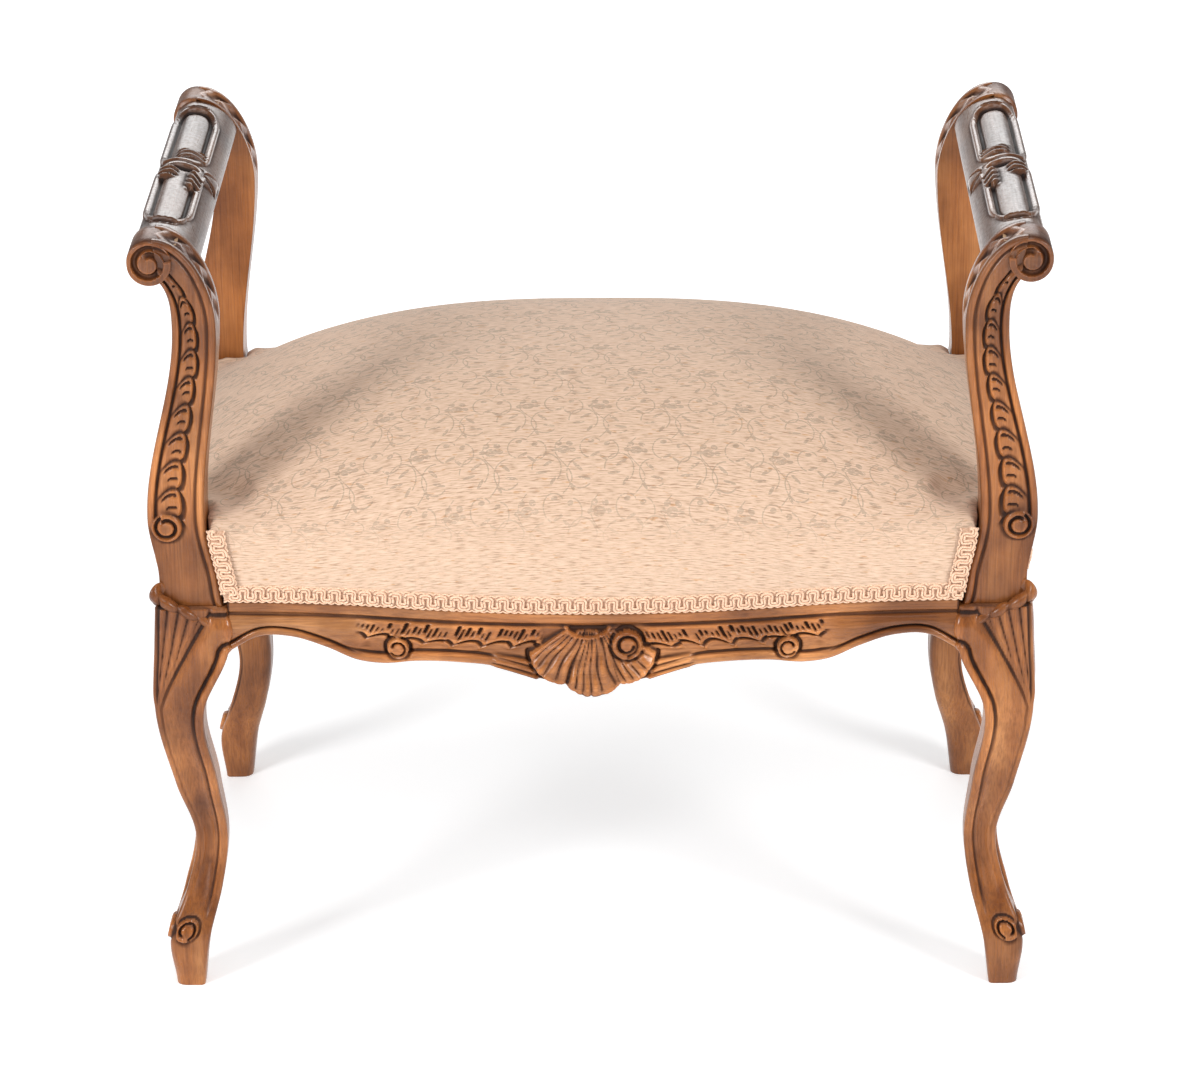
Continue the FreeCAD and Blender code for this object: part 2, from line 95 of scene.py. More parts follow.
def mixed(tree, kind, factor, a, b):
    """Two colours laid over each other; each value is a socket, a number or a colour."""
    node = tree.nodes.new("ShaderNodeMix")
    node.data_type = "RGBA"
    node.blend_type = kind
    for name, value in (("Factor", factor), ("A", a), ("B", b)):
        socket = node.inputs[name]
        if isinstance(value, bpy.types.NodeSocket):
            tree.links.new(value, socket)
        else:
            socket.default_value = value if isinstance(value, float) else (*value, 1)
    return node.outputs["Result"]


def bumped(tree, shader, height, strength, distance):
    node = tree.nodes.new("ShaderNodeBump")
    node.inputs["Strength"].default_value = strength
    node.inputs["Distance"].default_value = distance
    tree.links.new(height, node.inputs["Height"])
    tree.links.new(node.outputs["Normal"], shader.inputs["Normal"])


def laid_on(tree, shader, colour, roughness, sheen=0.0):
    """The colour of a finish, with an even roughness and sheen."""
    tree.links.new(colour, shader.inputs["Base Color"])
    shader.inputs["Roughness"].default_value = roughness
    shader.inputs["Sheen Weight"].default_value = sheen


def walnut(name, along, tint=(1.0, 1.0, 1.0), polish=0.25):
    """Walnut with its grain along one axis; the tint makes the rails paler, partly their own colour and partly
    a painted highlight, and the arms darker, as hands and wax have darkened them.
    """
    material, tree, shader = tree_of(name)
    across = [9.0, 9.0, 9.0]
    across[along] = 0.8
    fine = [120.0, 120.0, 120.0]
    fine[along] = 3.0
    even = (1.0, 1.0, 1.0)
    figure = noise(tree, stretched(tree, across), 4.0, 6)
    pores = noise(tree, stretched(tree, fine), 5.0, 3)
    patches = noise(tree, stretched(tree, even), 11.0, 3)
    mottle = noise(tree, stretched(tree, even), 300.0, 3)
    wear_and_shade = given(tree, "wear_and_shade", "Fac")
    parts = tree.nodes.new("ShaderNodeSeparateXYZ")
    tree.links.new(stretched(tree, even), parts.inputs["Vector"])
    height = parts.outputs["Z"]
    colour = ramp(tree, figure, [(0.28, (0.195, 0.059, 0.014)), (0.50, (0.365, 0.134, 0.038)),
                                 (0.72, (0.505, 0.220, 0.075))])
    streaks = ramp(tree, pores, [(0.36, (0.55, 0.50, 0.46)), (0.58, 1.0)])
    colour = mixed(tree, "MULTIPLY", 0.6, colour, streaks)
    tone = ramp(tree, patches, [(0.34, (0.50, 0.43, 0.38)), (0.62, (1.12, 1.10, 1.08))])
    # The wood is darker above about 0.6 m.
    darker_at_top = ramp(tree, height, [(0.59, 1.0), (0.68, (0.58, 0.55, 0.53))])
    # Over the real wax, dirt and rubbed wear, painted shade darkens the hollows and a painted highlight lifts
    # the ridges above their own colour.
    dirt_shade_and_highlight = ramp(tree, wear_and_shade, [(0.05, (0.13, 0.10, 0.08)), (0.28, (0.46, 0.41, 0.37)), (0.47, 1.0),
                             (0.58, 1.0), (0.88, (1.45, 1.45, 1.42))])
    for layer in (tone, tint, darker_at_top, dirt_shade_and_highlight):
        colour = mixed(tree, "MULTIPLY", 1.0, colour, layer)
    tree.links.new(colour, shader.inputs["Base Color"])
    gloss = ramp(tree, pores, [(0.3, 0.38), (0.7, 0.25)])
    shine = ramp(tree, wear_and_shade, [(0.30, 2.0), (0.50, 1.0), (0.80, 0.65)])
    tree.links.new(mixed(tree, "MULTIPLY", 1.0, gloss, shine), shader.inputs["Roughness"])
    shader.inputs["Specular IOR Level"].default_value = 0.3
    wax = ramp(tree, height, [(0.61, polish), (0.67, max(polish, 0.6))])
    thin = ramp(tree, mottle, [(0.36, 0.45), (0.62, 1.0)])
    reached = ramp(tree, wear_and_shade, [(0.24, 0.06), (0.46, 1.0)])
    for layer in (thin, reached):
        wax = mixed(tree, "MULTIPLY", 1.0, wax, layer)
    tree.links.new(wax, shader.inputs["Coat Weight"])
    shader.inputs["Coat Roughness"].default_value = 0.30
    bumped(tree, shader, pores, strength=0.25, distance=0.0004)
    return material


upright = walnut("walnut_upright", 2)
# The rails' paler, less saturated tint is partly their own colour and partly a painted highlight for the gloss
# on their faces.
lengthwise = walnut("walnut_lengthwise", 0, tint=(1.16, 1.27, 1.48))
crosswise = walnut("walnut_crosswise", 1)
rubbed = walnut("walnut_rubbed", 1, tint=(0.5, 0.5, 0.5), polish=1.0)


# Cabriole legs, of walnut. Each is carved from one block: a hollow face between a bead and the arris,
# a scroll above the foot, a fan on the knee and a rolled lip round the foot of the arm post.

def step(start, end, x):
    """A soft step from 0 to 1."""
    t = np.clip((x - start) / (end - start), 0, 1)
    return t * t * (3 - 2 * t)


def ridge(x, middle, half):
    """A round-topped bump."""
    return np.sqrt(np.clip(1 - ((x - middle) / half) ** 2, 0, 1))


def hermite(t, p0, m0, p1, m1):
    """A curve from p0 to p1 that leaves along m0 and arrives along m1."""
    return ((2 * t ** 3 - 3 * t ** 2 + 1) * p0 + (t ** 3 - 2 * t ** 2 + t) * m0
            + (3 * t ** 2 - 2 * t ** 3) * p1 + (t ** 3 - t ** 2) * m1)


def smooth(at, stops, values):
    """A smooth curve through values at stops."""
    stops = np.array(stops, float)
    values = np.array(values, float)
    slopes = np.gradient(values, stops)
    i = np.clip(np.searchsorted(stops, at) - 1, 0, len(stops) - 2)
    span = stops[i + 1] - stops[i]
    return hermite((at - stops[i]) / span, values[i], span * slopes[i], values[i + 1], span * slopes[i + 1])


# This value sets real wear, and also painted shade in hollows and a painted highlight on ridges.
def worn_and_shaded(relief, closed=False):
    """How far each point lies above or below what surrounds it, as 0 for deep and 1 for proud."""
    reach, gain = 5, 0.32
    level = relief
    for axis in (0, 1):
        size = relief.shape[axis]
        total = 0
        for shift in range(-reach, reach + 1):
            places = np.arange(size) + shift
            places = places % size if closed and axis == 1 else np.clip(places, 0, size - 1)
            total = total + np.take(level, places, axis)
        level = total / (2 * reach + 1)
    return np.clip(0.5 + gain * (relief - level), 0, 1)


def patch(points, wear_and_shade=None, closed=False, capped=False):
    """A grid of points in millimetres, with its wear and painted shade; closed joins the last column to the
    first.
    """
    if wear_and_shade is None:
        wear_and_shade = np.full(points.shape[:2], 0.5)
    return points, wear_and_shade, closed, capped


def carved(name, patches, material, node=None, flips=(1, 1), turned=False):
    """A piece made of patches in place of a node, mirrored left to right or front to back by flips."""
    spots, wears_and_shades, faces = [], [], []
    start = 0
    sign = flips[0] * flips[1]
    for points, wear_and_shade, closed, capped in patches:
        rows, columns = points.shape[:2]
        index = start + np.arange(rows * columns).reshape(rows, columns)
        right = np.roll(index, -1, 1) if closed else index[:, 1:]
        left = index if closed else index[:, :-1]
        quads = np.stack([left[:-1], right[:-1], right[1:], left[1:]], -1).reshape(-1, 4)
        faces += [q[::sign] for q in quads.tolist()]
        if capped:
            faces += [index[0].tolist()[::-sign], index[-1].tolist()[::sign]]
        spots.append(points.reshape(-1, 3))
        wears_and_shades.append(wear_and_shade.reshape(-1))
        start += rows * columns
    spots = np.concatenate(spots) * 0.001
    if turned:
        spots = spots[:, [1, 0, 2]] * (-1, 1, 1)
    spots = spots * (flips[0], flips[1], 1)
    mesh = bpy.data.meshes.new(name)
    mesh.from_pydata(spots.tolist(), [], faces)
    mesh.attributes.new("wear_and_shade", "FLOAT", "POINT").data.foreach_set("value", np.concatenate(wears_and_shades))
    mesh.polygons.foreach_set("use_smooth", [True] * len(faces))
    mesh.materials.append(material)
    piece = bpy.data.objects.new(name, mesh)
    bpy.context.collection.objects.link(piece)
    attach(piece, "root")
    if node:
        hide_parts(node)
    return piece


def scroll(across, rise, radius, start, hand, turns, tight=0.07):
    """Relief of a spiral: a disc of the radius with a groove that winds in to a round eye."""
    r = np.hypot(across, rise)
    angle = np.mod(hand * (np.arctan2(rise, across) - start), 2 * np.pi)
    groove = 0
    for turn in range(2):
        wound = angle + 2 * np.pi * turn
        line = 0.80 * radius * np.exp(-tight * wound)
        fade = 1 - step(turns - 0.5, turns + 0.3, wound)
        groove = np.maximum(groove, ridge(r, line, 0.15 * radius) * fade)
    disc = 1 - step(0.94 * radius, 1.04 * radius, r)
    return disc, groove * disc


def with_scroll(relief, across, rise, radius, start, hand, turns, lift, depth):
    """Relief with a raised scroll laid over it."""
    disc, groove = scroll(across, rise, radius, start, hand, turns)
    return relief * (1 - disc) + lift * disc - depth * groove


head_half_width = 369.0
head_half_depth = 227.0
head_top = 358.0
leg_heights = [0, 48, 86, 130, 190, 268, 320, 358]
leg_swings = [-2, 1, -13, -22.5, -9, 4.5, 2, 0]
leg_sides = [25, 34.5, 30.5, 27.5, 36, 42.5, 62.5, 60.5]
lip_slope = 0.52


def ring(low, high, radii, count):
    """Plan of a rounded block at each height: points, outward directions, and place along each side."""
    (x0, y0), (x1, y1) = low, high
    square = [(x0, y0), (x1, y0), (x1, y1), (x0, y1)]
    outward = np.array([(0, -1), (1, 0), (0, 1), (-1, 0)], float)
    spots, normals, places = [], [], []
    share = np.linspace(0, 1, count, endpoint=False)[None, :]
    for k in range(4):
        a = np.stack(square[k], -1)[:, None, :]
        b = np.stack(square[(k + 1) % 4], -1)[:, None, :]
        length = np.linalg.norm(b - a, axis=-1)
        radius = radii[k][:, None]
        d = share * (length - radii[(k + 1) % 4][:, None])
        lean = np.clip((radius - d) / radius, 0, 1)
        rise = np.sqrt(1 - lean ** 2)
        normal = lean[..., None] * outward[k - 1] + rise[..., None] * outward[k]
        along = (b - a) / length[..., None]
        inset = radius * (1 - rise)
        spots.append(a + along * d[..., None] - outward[k] * inset[..., None])
        normals.append(normal)
        places.append((d, np.broadcast_to(length, d.shape)))
    return spots, normals, places


def leg_carving(w, width, z):
    """Relief on a show face; w runs from the arris towards the rail."""
    inner = width - w
    arch = 318.0
    turned_in = np.where(z < arch, inner, np.hypot(inner, z - arch))
    relief = step(60, 90, z) * (2.4 * ridge(turned_in, 3.8, 3.6) - 1.5 * ridge(turned_in, 9.0, 2.0))
    fan_foot, fan_width = 262.0, 41.0
    fan_edge = fan_width * np.clip((z - fan_foot) / 92, 0, 1) ** 1.25
    start = np.maximum(fan_edge + 5.5, 6.5)
    from_bead = np.clip(turned_in - 9.8, 0, None)
    from_fan = np.clip(np.minimum(w - start, 352 - z), 0, None)
    across = from_bead / np.maximum(from_bead + from_fan, 4)
    swell = np.interp(z, [70, 110, 200, 250, 290, 330, 358], [0, -3.8, -4.2, -2.0, 3.2, 5.0, 5.0])
    relief = relief + np.sin(np.pi * across) ** 0.8 * swell
    relief = relief - 1.1 * ridge(w, start - 1.0, 1.8) * step(92, 112, z)
    relief = relief - 1.3 * ridge(z, 353, 2.0) * (w > fan_edge + 4)
    flute = np.abs(np.sin(np.pi * 12.5 * w / np.maximum(z - 236, 1)))
    fan = step(fan_foot, 284, z) * (1 - step(fan_edge - 2.0, fan_edge + 1.0, w)) * (z < 366 - lip_slope * w)
    relief = relief * (1 - fan) + fan * (2.6 * flute ** 0.5 - 1.5)
    across, rise = 12.5 - w, z - 54.0
    relief = with_scroll(relief, across, rise, radius=10.0, start=-0.6 * np.pi, hand=-1, turns=5.6,
                         lift=3.0, depth=3.8)
    return relief - 1.2 * ridge(np.hypot(across, rise), 11.4, 1.4) * step(40, 52, z)


def lip():
    """The rolled edge of the knee fan: lobes that fall away from the arris on both faces."""
    reach = 54.0
    p = np.linspace(-reach, reach, 220)
    round_in = 10.0
    turn = np.clip(p / round_in, -1, 1) * np.pi / 4
    bend = np.pi / 4 + turn
    out = np.stack([np.sin(bend), -np.cos(bend)], -1)
    along = np.maximum(np.abs(p) - round_in, 0)
    base = np.stack([head_half_width - 5 - np.where(p < 0, along, 0),
                     -head_half_depth + 5 + np.where(p > 0, along, 0)], -1) + out * 5
    lobe = np.abs(np.cos(np.pi * p / 16.0)) ** 0.7
    fade = 1 - 0.30 * np.abs(p) / reach
    curl = 1 - step(4, 15, np.abs(p))
    radius = (3.4 + 3.2 * lobe) * fade + 2.4 * curl
    middle = head_top + 12.5 - lip_slope * np.abs(p) + 2.0 * curl
    around = np.linspace(-2.3, 2.6, 30)
    points = np.zeros((len(p), len(around), 3))
    swing = radius[:, None] * np.cos(around)[None, :]
    points[..., :2] = (base - out * 2.0)[:, None, :] + out[:, None, :] * swing[..., None]
    points[..., 2] = middle[:, None] + radius[:, None] * np.sin(around)[None, :]
    # The upper side of each roll is set lighter and its underside darker, as painted light and shade; proud
    # lobes are also lighter.
    wear_and_shade = np.clip(0.30 + 0.32 * lobe, 0, 1)[:, None] + 0.16 * np.sin(around - 0.2)[None, :]
    return patch(points, np.clip(wear_and_shade, 0, 1))


def leg(draw_in):
    """A leg with its carving; draw_in moves the foot towards the middle of the seat."""
    z = np.linspace(0, head_top, 290)
    swing = smooth(z, leg_heights, leg_swings)
    side = smooth(z, leg_heights, leg_sides)
    shift = draw_in * smooth(z, [0, 190, 268, 320, 358], [1, 1, 0.5, 0, 0])
    x1 = head_half_width + swing - shift
    y1 = head_half_depth + swing
    foot = 1 - step(14, 66, z)
    radii = [2.5 + 1.5 * foot, 3.0 + 6.0 * foot, 2.5 + 1.5 * foot, 3.0 + 7.0 * (1 - step(285, 312, z))]
    spots, normals, places = ring((x1 - side, -y1), (x1, side - y1), radii, 52)
    (d0, length0), (d1, length1) = places[:2]
    shown = [leg_carving(length0 - d0, length0, z[:, None]), leg_carving(d1, length1, z[:, None])]
    relief = np.concatenate(shown + [np.zeros_like(d) for d, _ in places[2:]], 1)
    plan = np.concatenate(spots, 1) + np.concatenate(normals, 1) * relief[..., None]
    points = np.dstack([plan, np.broadcast_to(z[:, None], relief.shape)])
    return [patch(points, worn_and_shaded(relief, True), True, True), lip()]


corners = {"front_right": (1, 1), "front_left": (-1, 1), "back_right": (1, -1), "back_left": (-1, -1)}
back_draw_in = 7.0
for corner, flips in corners.items():
    draw_in = back_draw_in if flips[1] < 0 else 0
    carved("carved_leg_" + corner, leg(draw_in), upright, "leg_" + corner, flips)


# Arm posts, of walnut: S-shaped boards tenoned into the legs. The front face has a beaded edge, a strip of
# slanting lobes and a small scroll below it, and the top rolls over into a volute.

post_face = -220.0
post_back = -180.0
volute_middle = np.array([361.5, 663.0])


def spline(points, tangents, counts):
    """Hermite curve through points, with a count of steps for each stretch."""
    out = []
    for i, count in enumerate(counts):
        p0, p1 = np.array(points[i], float), np.array(points[i + 1], float)
        size = np.linalg.norm(p1 - p0)
        m0 = np.array(tangents[i], float) / np.linalg.norm(tangents[i]) * size
        m1 = np.array(tangents[i + 1], float) / np.linalg.norm(tangents[i + 1]) * size
        t = np.linspace(0, 1, count, endpoint=i == len(counts) - 1)[:, None]
        out.append(hermite(t, p0, m0, p1, m1))
    return np.concatenate(out)


def unit(directions):
    """Directions with a length of one."""
    return directions / np.linalg.norm(directions, axis=1)[:, None]


post_counts = (30, 70, 150, 80)
post_inner = spline([(312, 358), (317.5, 392), (325.5, 438), (309, 608), (359, 684)],
                    [(0.3, 1), (0.22, 1), (0, 1), (0, 1), (1, 0.02)], post_counts)
post_outer = spline([(366, 358), (366, 392), (373, 438), (345, 608), (353, 646)],
                    [(0, 1), (0.12, 1), (0, 1), (0, 1), (0.75, 1)], post_counts)
below_volute = sum(post_counts[:3])


def post_edge(z):
    """Where the inner edge of a post lies at a height below its volute."""
    return np.interp(z, post_inner[:below_volute, 1], post_inner[:below_volute, 0])


def post_carving(across, width, z):
    """Relief on the front of a post, and where its lobes lie; across runs outwards from the inner edge."""
    outer = width - across
    relief = 1.6 * ridge(across, 3.2, 3.0) - 1.2 * ridge(across, 7.6, 1.8)
    relief = relief - 0.8 * step(8, 14, across) * step(6, 10, outer)
    upper = step(424, 440, z) * (1 - step(648, 662, z))
    relief = relief + upper * (1.6 * ridge(outer, 3.2, 3.0) - 1.4 * ridge(outer, 6.8, 1.6))
    top, low, count = 646.0, 428.0, 9.0
    share = np.clip((top - z) / (top - low), 0, 1)
    strip = 8 + 14 * share ** 0.8
    inside = (outer - 7.6) / strip
    beat = count * share ** 0.94 + 0.45 * np.sin(2.4 * np.clip(inside, 0, 1.1))
    part = np.mod(beat, 1)
    chance = np.mod(np.sin(np.floor(beat) * 12.99) * 437.5, 1)
    bulge = np.sqrt(np.clip(1 - (2 * part ** 0.85 - 1) ** 2, 0, 1))
    edge = 0.70 + 0.08 * chance + 0.28 * bulge
    on = upper * (1 - step(edge - 0.10, edge, inside)) * step(-0.02, 0.06, inside)
    slits = ridge(part, 0.20, 0.06) * step(0.15, 0.35, inside)
    slits = np.maximum(slits, 0.9 * ridge(part, 0.52 + 0.12 * chance, 0.05) * step(0.38, 0.50, inside))
    lobe = 4.4 * bulge ** 0.8 * np.sqrt(np.clip(1 - (2 * np.clip(inside / edge, 0, 1) - 1.1) ** 2 * 0.8, 0, 1))
    lobe = lobe - 2.6 * slits * (1 - step(0.74, 0.90, inside / edge))
    relief = relief * (1 - on) + on * (lobe - 1.4)
    relief = relief - 1.7 * upper * ridge(inside, edge + 0.07, 0.11)
    return relief, on


def post_body():
    """The board of a post: carved front, plain outer side and back, and leaves inside the top."""
    depth_steps, face_steps = 26, 64
    share = np.linspace(0, 1, face_steps)[None, :, None]
    face = post_inner[:, None, :] * (1 - share) + post_outer[:, None, :] * share
    width = np.linalg.norm(post_outer - post_inner, axis=1)[:, None]
    across = share[..., 0] * width
    relief, lobes = post_carving(across, width, face[..., 1])
    relief = with_scroll(relief, face[..., 0] - 357, face[..., 1] - 430, radius=12.5, start=0.35 * np.pi,
                         hand=-1, turns=6.6, lift=3.2, depth=3.8)
    eased_edge = 2.0
    ease = 1.6 * (1 - ridge(across, eased_edge, eased_edge) * (across < eased_edge) - (across >= eased_edge))
    front = np.dstack([face[..., 0], post_face - relief + ease, face[..., 1]])
    back = np.dstack([face[..., 0], np.full(relief.shape, post_back), face[..., 1]])[:, ::-1]
    deep = np.linspace(post_face, post_back, depth_steps)[None, :]

    def wall(line, sign):
        run = np.gradient(line, axis=0)
        normal = unit(np.stack([run[:, 1], -run[:, 0]], -1)) * sign
        top = step(590, 640, line[:, 1])[:, None]
        middle = (deep - (post_face + post_back) / 2) / 20
        length = np.cumsum(np.linalg.norm(run, axis=1))[:, None]
        leaf = np.abs(np.sin(0.13 * length + 2.2 * np.abs(middle)))
        spread = 1 - step(0.55, 0.72, np.abs(middle))
        lift = -top * spread * (3.4 - 2.8 * leaf ** 2) if sign < 0 else 0 * deep * top
        spot = line[:, None, :] + normal[:, None, :] * lift[..., None]
        return np.dstack([spot[..., 0], np.broadcast_to(deep, lift.shape), spot[..., 1]]), lift

    outer, _ = wall(post_outer, 1)
    inner, leaf = wall(post_inner, -1)
    points = np.concatenate([front, outer[:, 1:-1], back, inner[:, ::-1][:, 1:-1]], 1)
    height = np.concatenate([relief, 0 * outer[:, 1:-1, 0], 0 * back[..., 0], leaf[:, ::-1][:, 1:-1]], 1)
    wear_and_shade = worn_and_shaded(height, True)
    wear_and_shade[:, :face_steps] = wear_and_shade[:, :face_steps] - 0.21 * lobes
    return patch(points, np.clip(wear_and_shade, 0, 1), True, True)


def volute():
    """The end of the scroll: a short drum with a spiral cut in its face."""
    angle = np.linspace(0, 2 * np.pi, 180, endpoint=False)[None, :]
    lift = 2.2 * np.clip(np.sin(angle), 0, 1) ** 1.5
    size = 18.5 + lift
    face_rings = 46
    drum = [post_face + 1.2, post_face + 10, post_back - 10, post_back - 1.2, post_back, post_back]
    share = np.concatenate([np.linspace(0.02, 0.97, face_rings), [1, 1, 1, 1, 0.97, 0.02]])[:, None]
    deep = np.concatenate([np.full(face_rings, post_face), drum])[:, None]
    across = share * size * np.cos(angle)
    rise = share * size * np.sin(angle)
    disc, groove = scroll(across, rise, radius=19.5, start=0.95 * np.pi, hand=-1, turns=8.2, tight=0.085)
    front = np.arange(len(deep))[:, None] < face_rings
    eye = np.sqrt(np.clip(1 - (np.hypot(across, rise) / 9.0) ** 2, 0, 1))
    relief = np.where(front, 2.2 * disc - 5.0 * groove + 1.0 * eye, 0)
    points = np.dstack([volute_middle[0] + across, deep - relief, volute_middle[1] + rise])
    return patch(points[:, ::-1], worn_and_shaded(relief, True)[:, ::-1], True, True)


for corner, flips in corners.items():
    post = [post_body(), volute()]
    carved("carved_arm_post_" + corner, post, upright, "arm_post_" + corner, flips)


# Roll arms, of walnut, between the volutes. Two sunk panels with beaded frames run along the top, and a
# leafy scroll crosses between them.

def arm():
    """A roll arm: its section, carried along and carved; u runs round the section from the outer side."""
    middle = np.array([359.0, 663.0])
    radius = 18.5
    around = np.linspace(0, np.pi / 2, 30)
    crest = middle + radius * np.stack([np.cos(around), np.sin(around)], -1)
    inner_edge = (323, 655)
    slope = spline([(359, 681.5), inner_edge], [(-1, 0), (-0.3, -1)], (46,))[1:]
    under = spline([inner_edge, (330, 647), (372.1, 649.9)], [(8, -8), (20, 1), (1, 0.2)], (10, 20))[1:]
    toe = middle + radius * np.stack([np.cos(around / 2 - np.pi / 4), np.sin(around / 2 - np.pi / 4)], -1)[1:-1]
    outline = np.concatenate([crest, slope, under, toe])
    run = np.roll(outline, -1, 0) - np.roll(outline, 1, 0)
    normal = unit(np.stack([run[:, 1], -run[:, 0]], -1))
    length = np.concatenate([[0], np.cumsum(np.linalg.norm(np.diff(outline, axis=0), axis=1))])
    u = length[None, :]
    y = np.linspace(-180.5, 180.5, 300)[:, None]
    along = np.abs(y)
    panel_low, panel_middle, panel_high = 16.0, 34.0, 52.0
    off_middle = u - panel_middle
    inside_u = np.minimum(u - panel_low, panel_high - u)
    ends = 152 - 14 * (1 - np.sqrt(np.clip(1 - (off_middle / 18) ** 2, 0, 1)))
    starts = 10.0 + 0.12 * np.sign(y) * off_middle
    inside_y = np.minimum(along - starts, ends - along)
    corner_size = 10.0
    past_u = np.maximum(corner_size - inside_u, 0)
    past_y = np.maximum(corner_size - 0.5 * inside_y, 0)
    inside = corner_size - np.hypot(past_u, past_y)
    pillow = 1.6 * np.sin(np.pi * np.clip((u - panel_low) / (panel_high - panel_low), 0, 1))
    relief = (pillow - 3.4) * step(0, 4.0, inside) + 2.0 * ridge(inside, -2.6, 2.8)
    relief = relief - 2.8 * ridge(inside, 1.6, 1.9)
    relief = relief - 1.8 * ridge(u, 9.0, 1.5) + 0.9 * ridge(u, 12.0, 1.8)
    relief = relief - 3.0 * ridge(y + 0.12 * off_middle, 0, 2.6) * step(12, 18, u) * (1 - step(50, 56, u))
    leaf_back = step(24, 34, u) * (1 - step(50, 54, u)) * step(10, 13, y) * (1 - step(34, 44, y))
    leaf_front = (1 - step(26, 36, u)) * step(14, 18, u) * step(10, 13, -y) * (1 - step(30, 40, -y))
    curl_front = step(40, 46, u) * (1 - step(53, 56, u)) * step(14, 18, -y) * (1 - step(54, 66, -y))
    for leaf in (leaf_back, leaf_front, curl_front):
        relief = relief * (1 - leaf) + 2.2 * leaf
    sweep = along + 0.5 * np.abs(u - 40)
    for slot_at in (17.0, 27.0, 37.0):
        relief = relief - 4.4 * ridge(sweep, slot_at, 3.0) * np.maximum(leaf_back, leaf_front)
    for slot_at in (24.0, 36.0, 48.0, 60.0):
        relief = relief - 3.6 * ridge(-y - 1.6 * (u - 46), slot_at, 3.2) * curl_front
    tips = step(54, 57, u) * (1 - step(70, 74, u))
    for tip in (-1, 1):
        relief = relief - 3.0 * ridge(y + 14 - tip * 0.8 * (u - 50), 0, 3.2) * tips
    relief = relief + 2.4 * ridge(y + 14, 0, 20.0) * tips
    lens = 1 - ((off_middle / 10) ** 2 + ((along - 160) / 5) ** 2)
    relief = relief - 2.4 * np.sqrt(np.clip(lens, 0, 1)) + 1.0 * ridge(lens, -0.25, 0.3)
    carved_to = 74
    relief = relief * (u < carved_to)
    spot = outline[None] + normal[None] * relief[..., None]
    points = np.dstack([spot[..., 0], np.broadcast_to(y, relief.shape), spot[..., 1]])
    return [patch(points[::-1], worn_and_shaded(relief, True)[::-1], True, True)]


for side, flip in (("right", 1), ("left", -1)):
    carved("carved_arm_" + side, arm(), rubbed, "arm_rail_" + side, (flip, 1))


# Seat rails, of walnut, tenoned into the legs. The serpentine front and back have a leaf frieze between two
# scrolls and a shell in the middle; the sides have a bead and a smaller shell. All are sawn below.

show_line = 364.0
front_face = 224.0
side_face = 366.0
long_half_span = 308.5
short_half_span = 166.5


def serpentine(x, half_span, bow, swell_half):
    """How far a rail stands out beyond its ends."""
    turn = 2 * math.atan(bow / half_span)
    middle_radius = swell_half / math.sin(turn)
    end_radius = (half_span - swell_half) / math.sin(turn)
    x = np.minimum(np.abs(x), half_span)
    swell = bow - middle_radius + np.sqrt(middle_radius ** 2 - np.minimum(x, swell_half) ** 2)
    hollow = end_radius - np.sqrt(end_radius ** 2 - (half_span - x) ** 2)
    return np.where(x <= swell_half, swell, hollow)


def long_bow(x):
    """The bow of the front and back rails."""
    return serpentine(x, long_half_span, bow=28.0, swell_half=165.0)


def short_bow(y):
    """The bow of the side rails."""
    return serpentine(y, short_half_span, bow=6.0, swell_half=85.0)


shell_root = 366.0
frieze_top = 352.0


def front_edge(x):
    """Height of the lower edge of the front rail."""
    a = np.abs(x)
    edge = smooth(a, [0, 20, 44, 62, 84, 110, 150, 178, 200, 225, 256, 285, 308],
                  [292, 293, 302, 308, 314, 316, 315, 311, 313, 323, 332, 331, 318])
    lobes = np.abs(np.cos(np.arctan2(x, shell_root - edge) * 4.5))
    return edge + 5.0 * (1 - lobes ** 0.6) * (1 - step(42, 48, a))


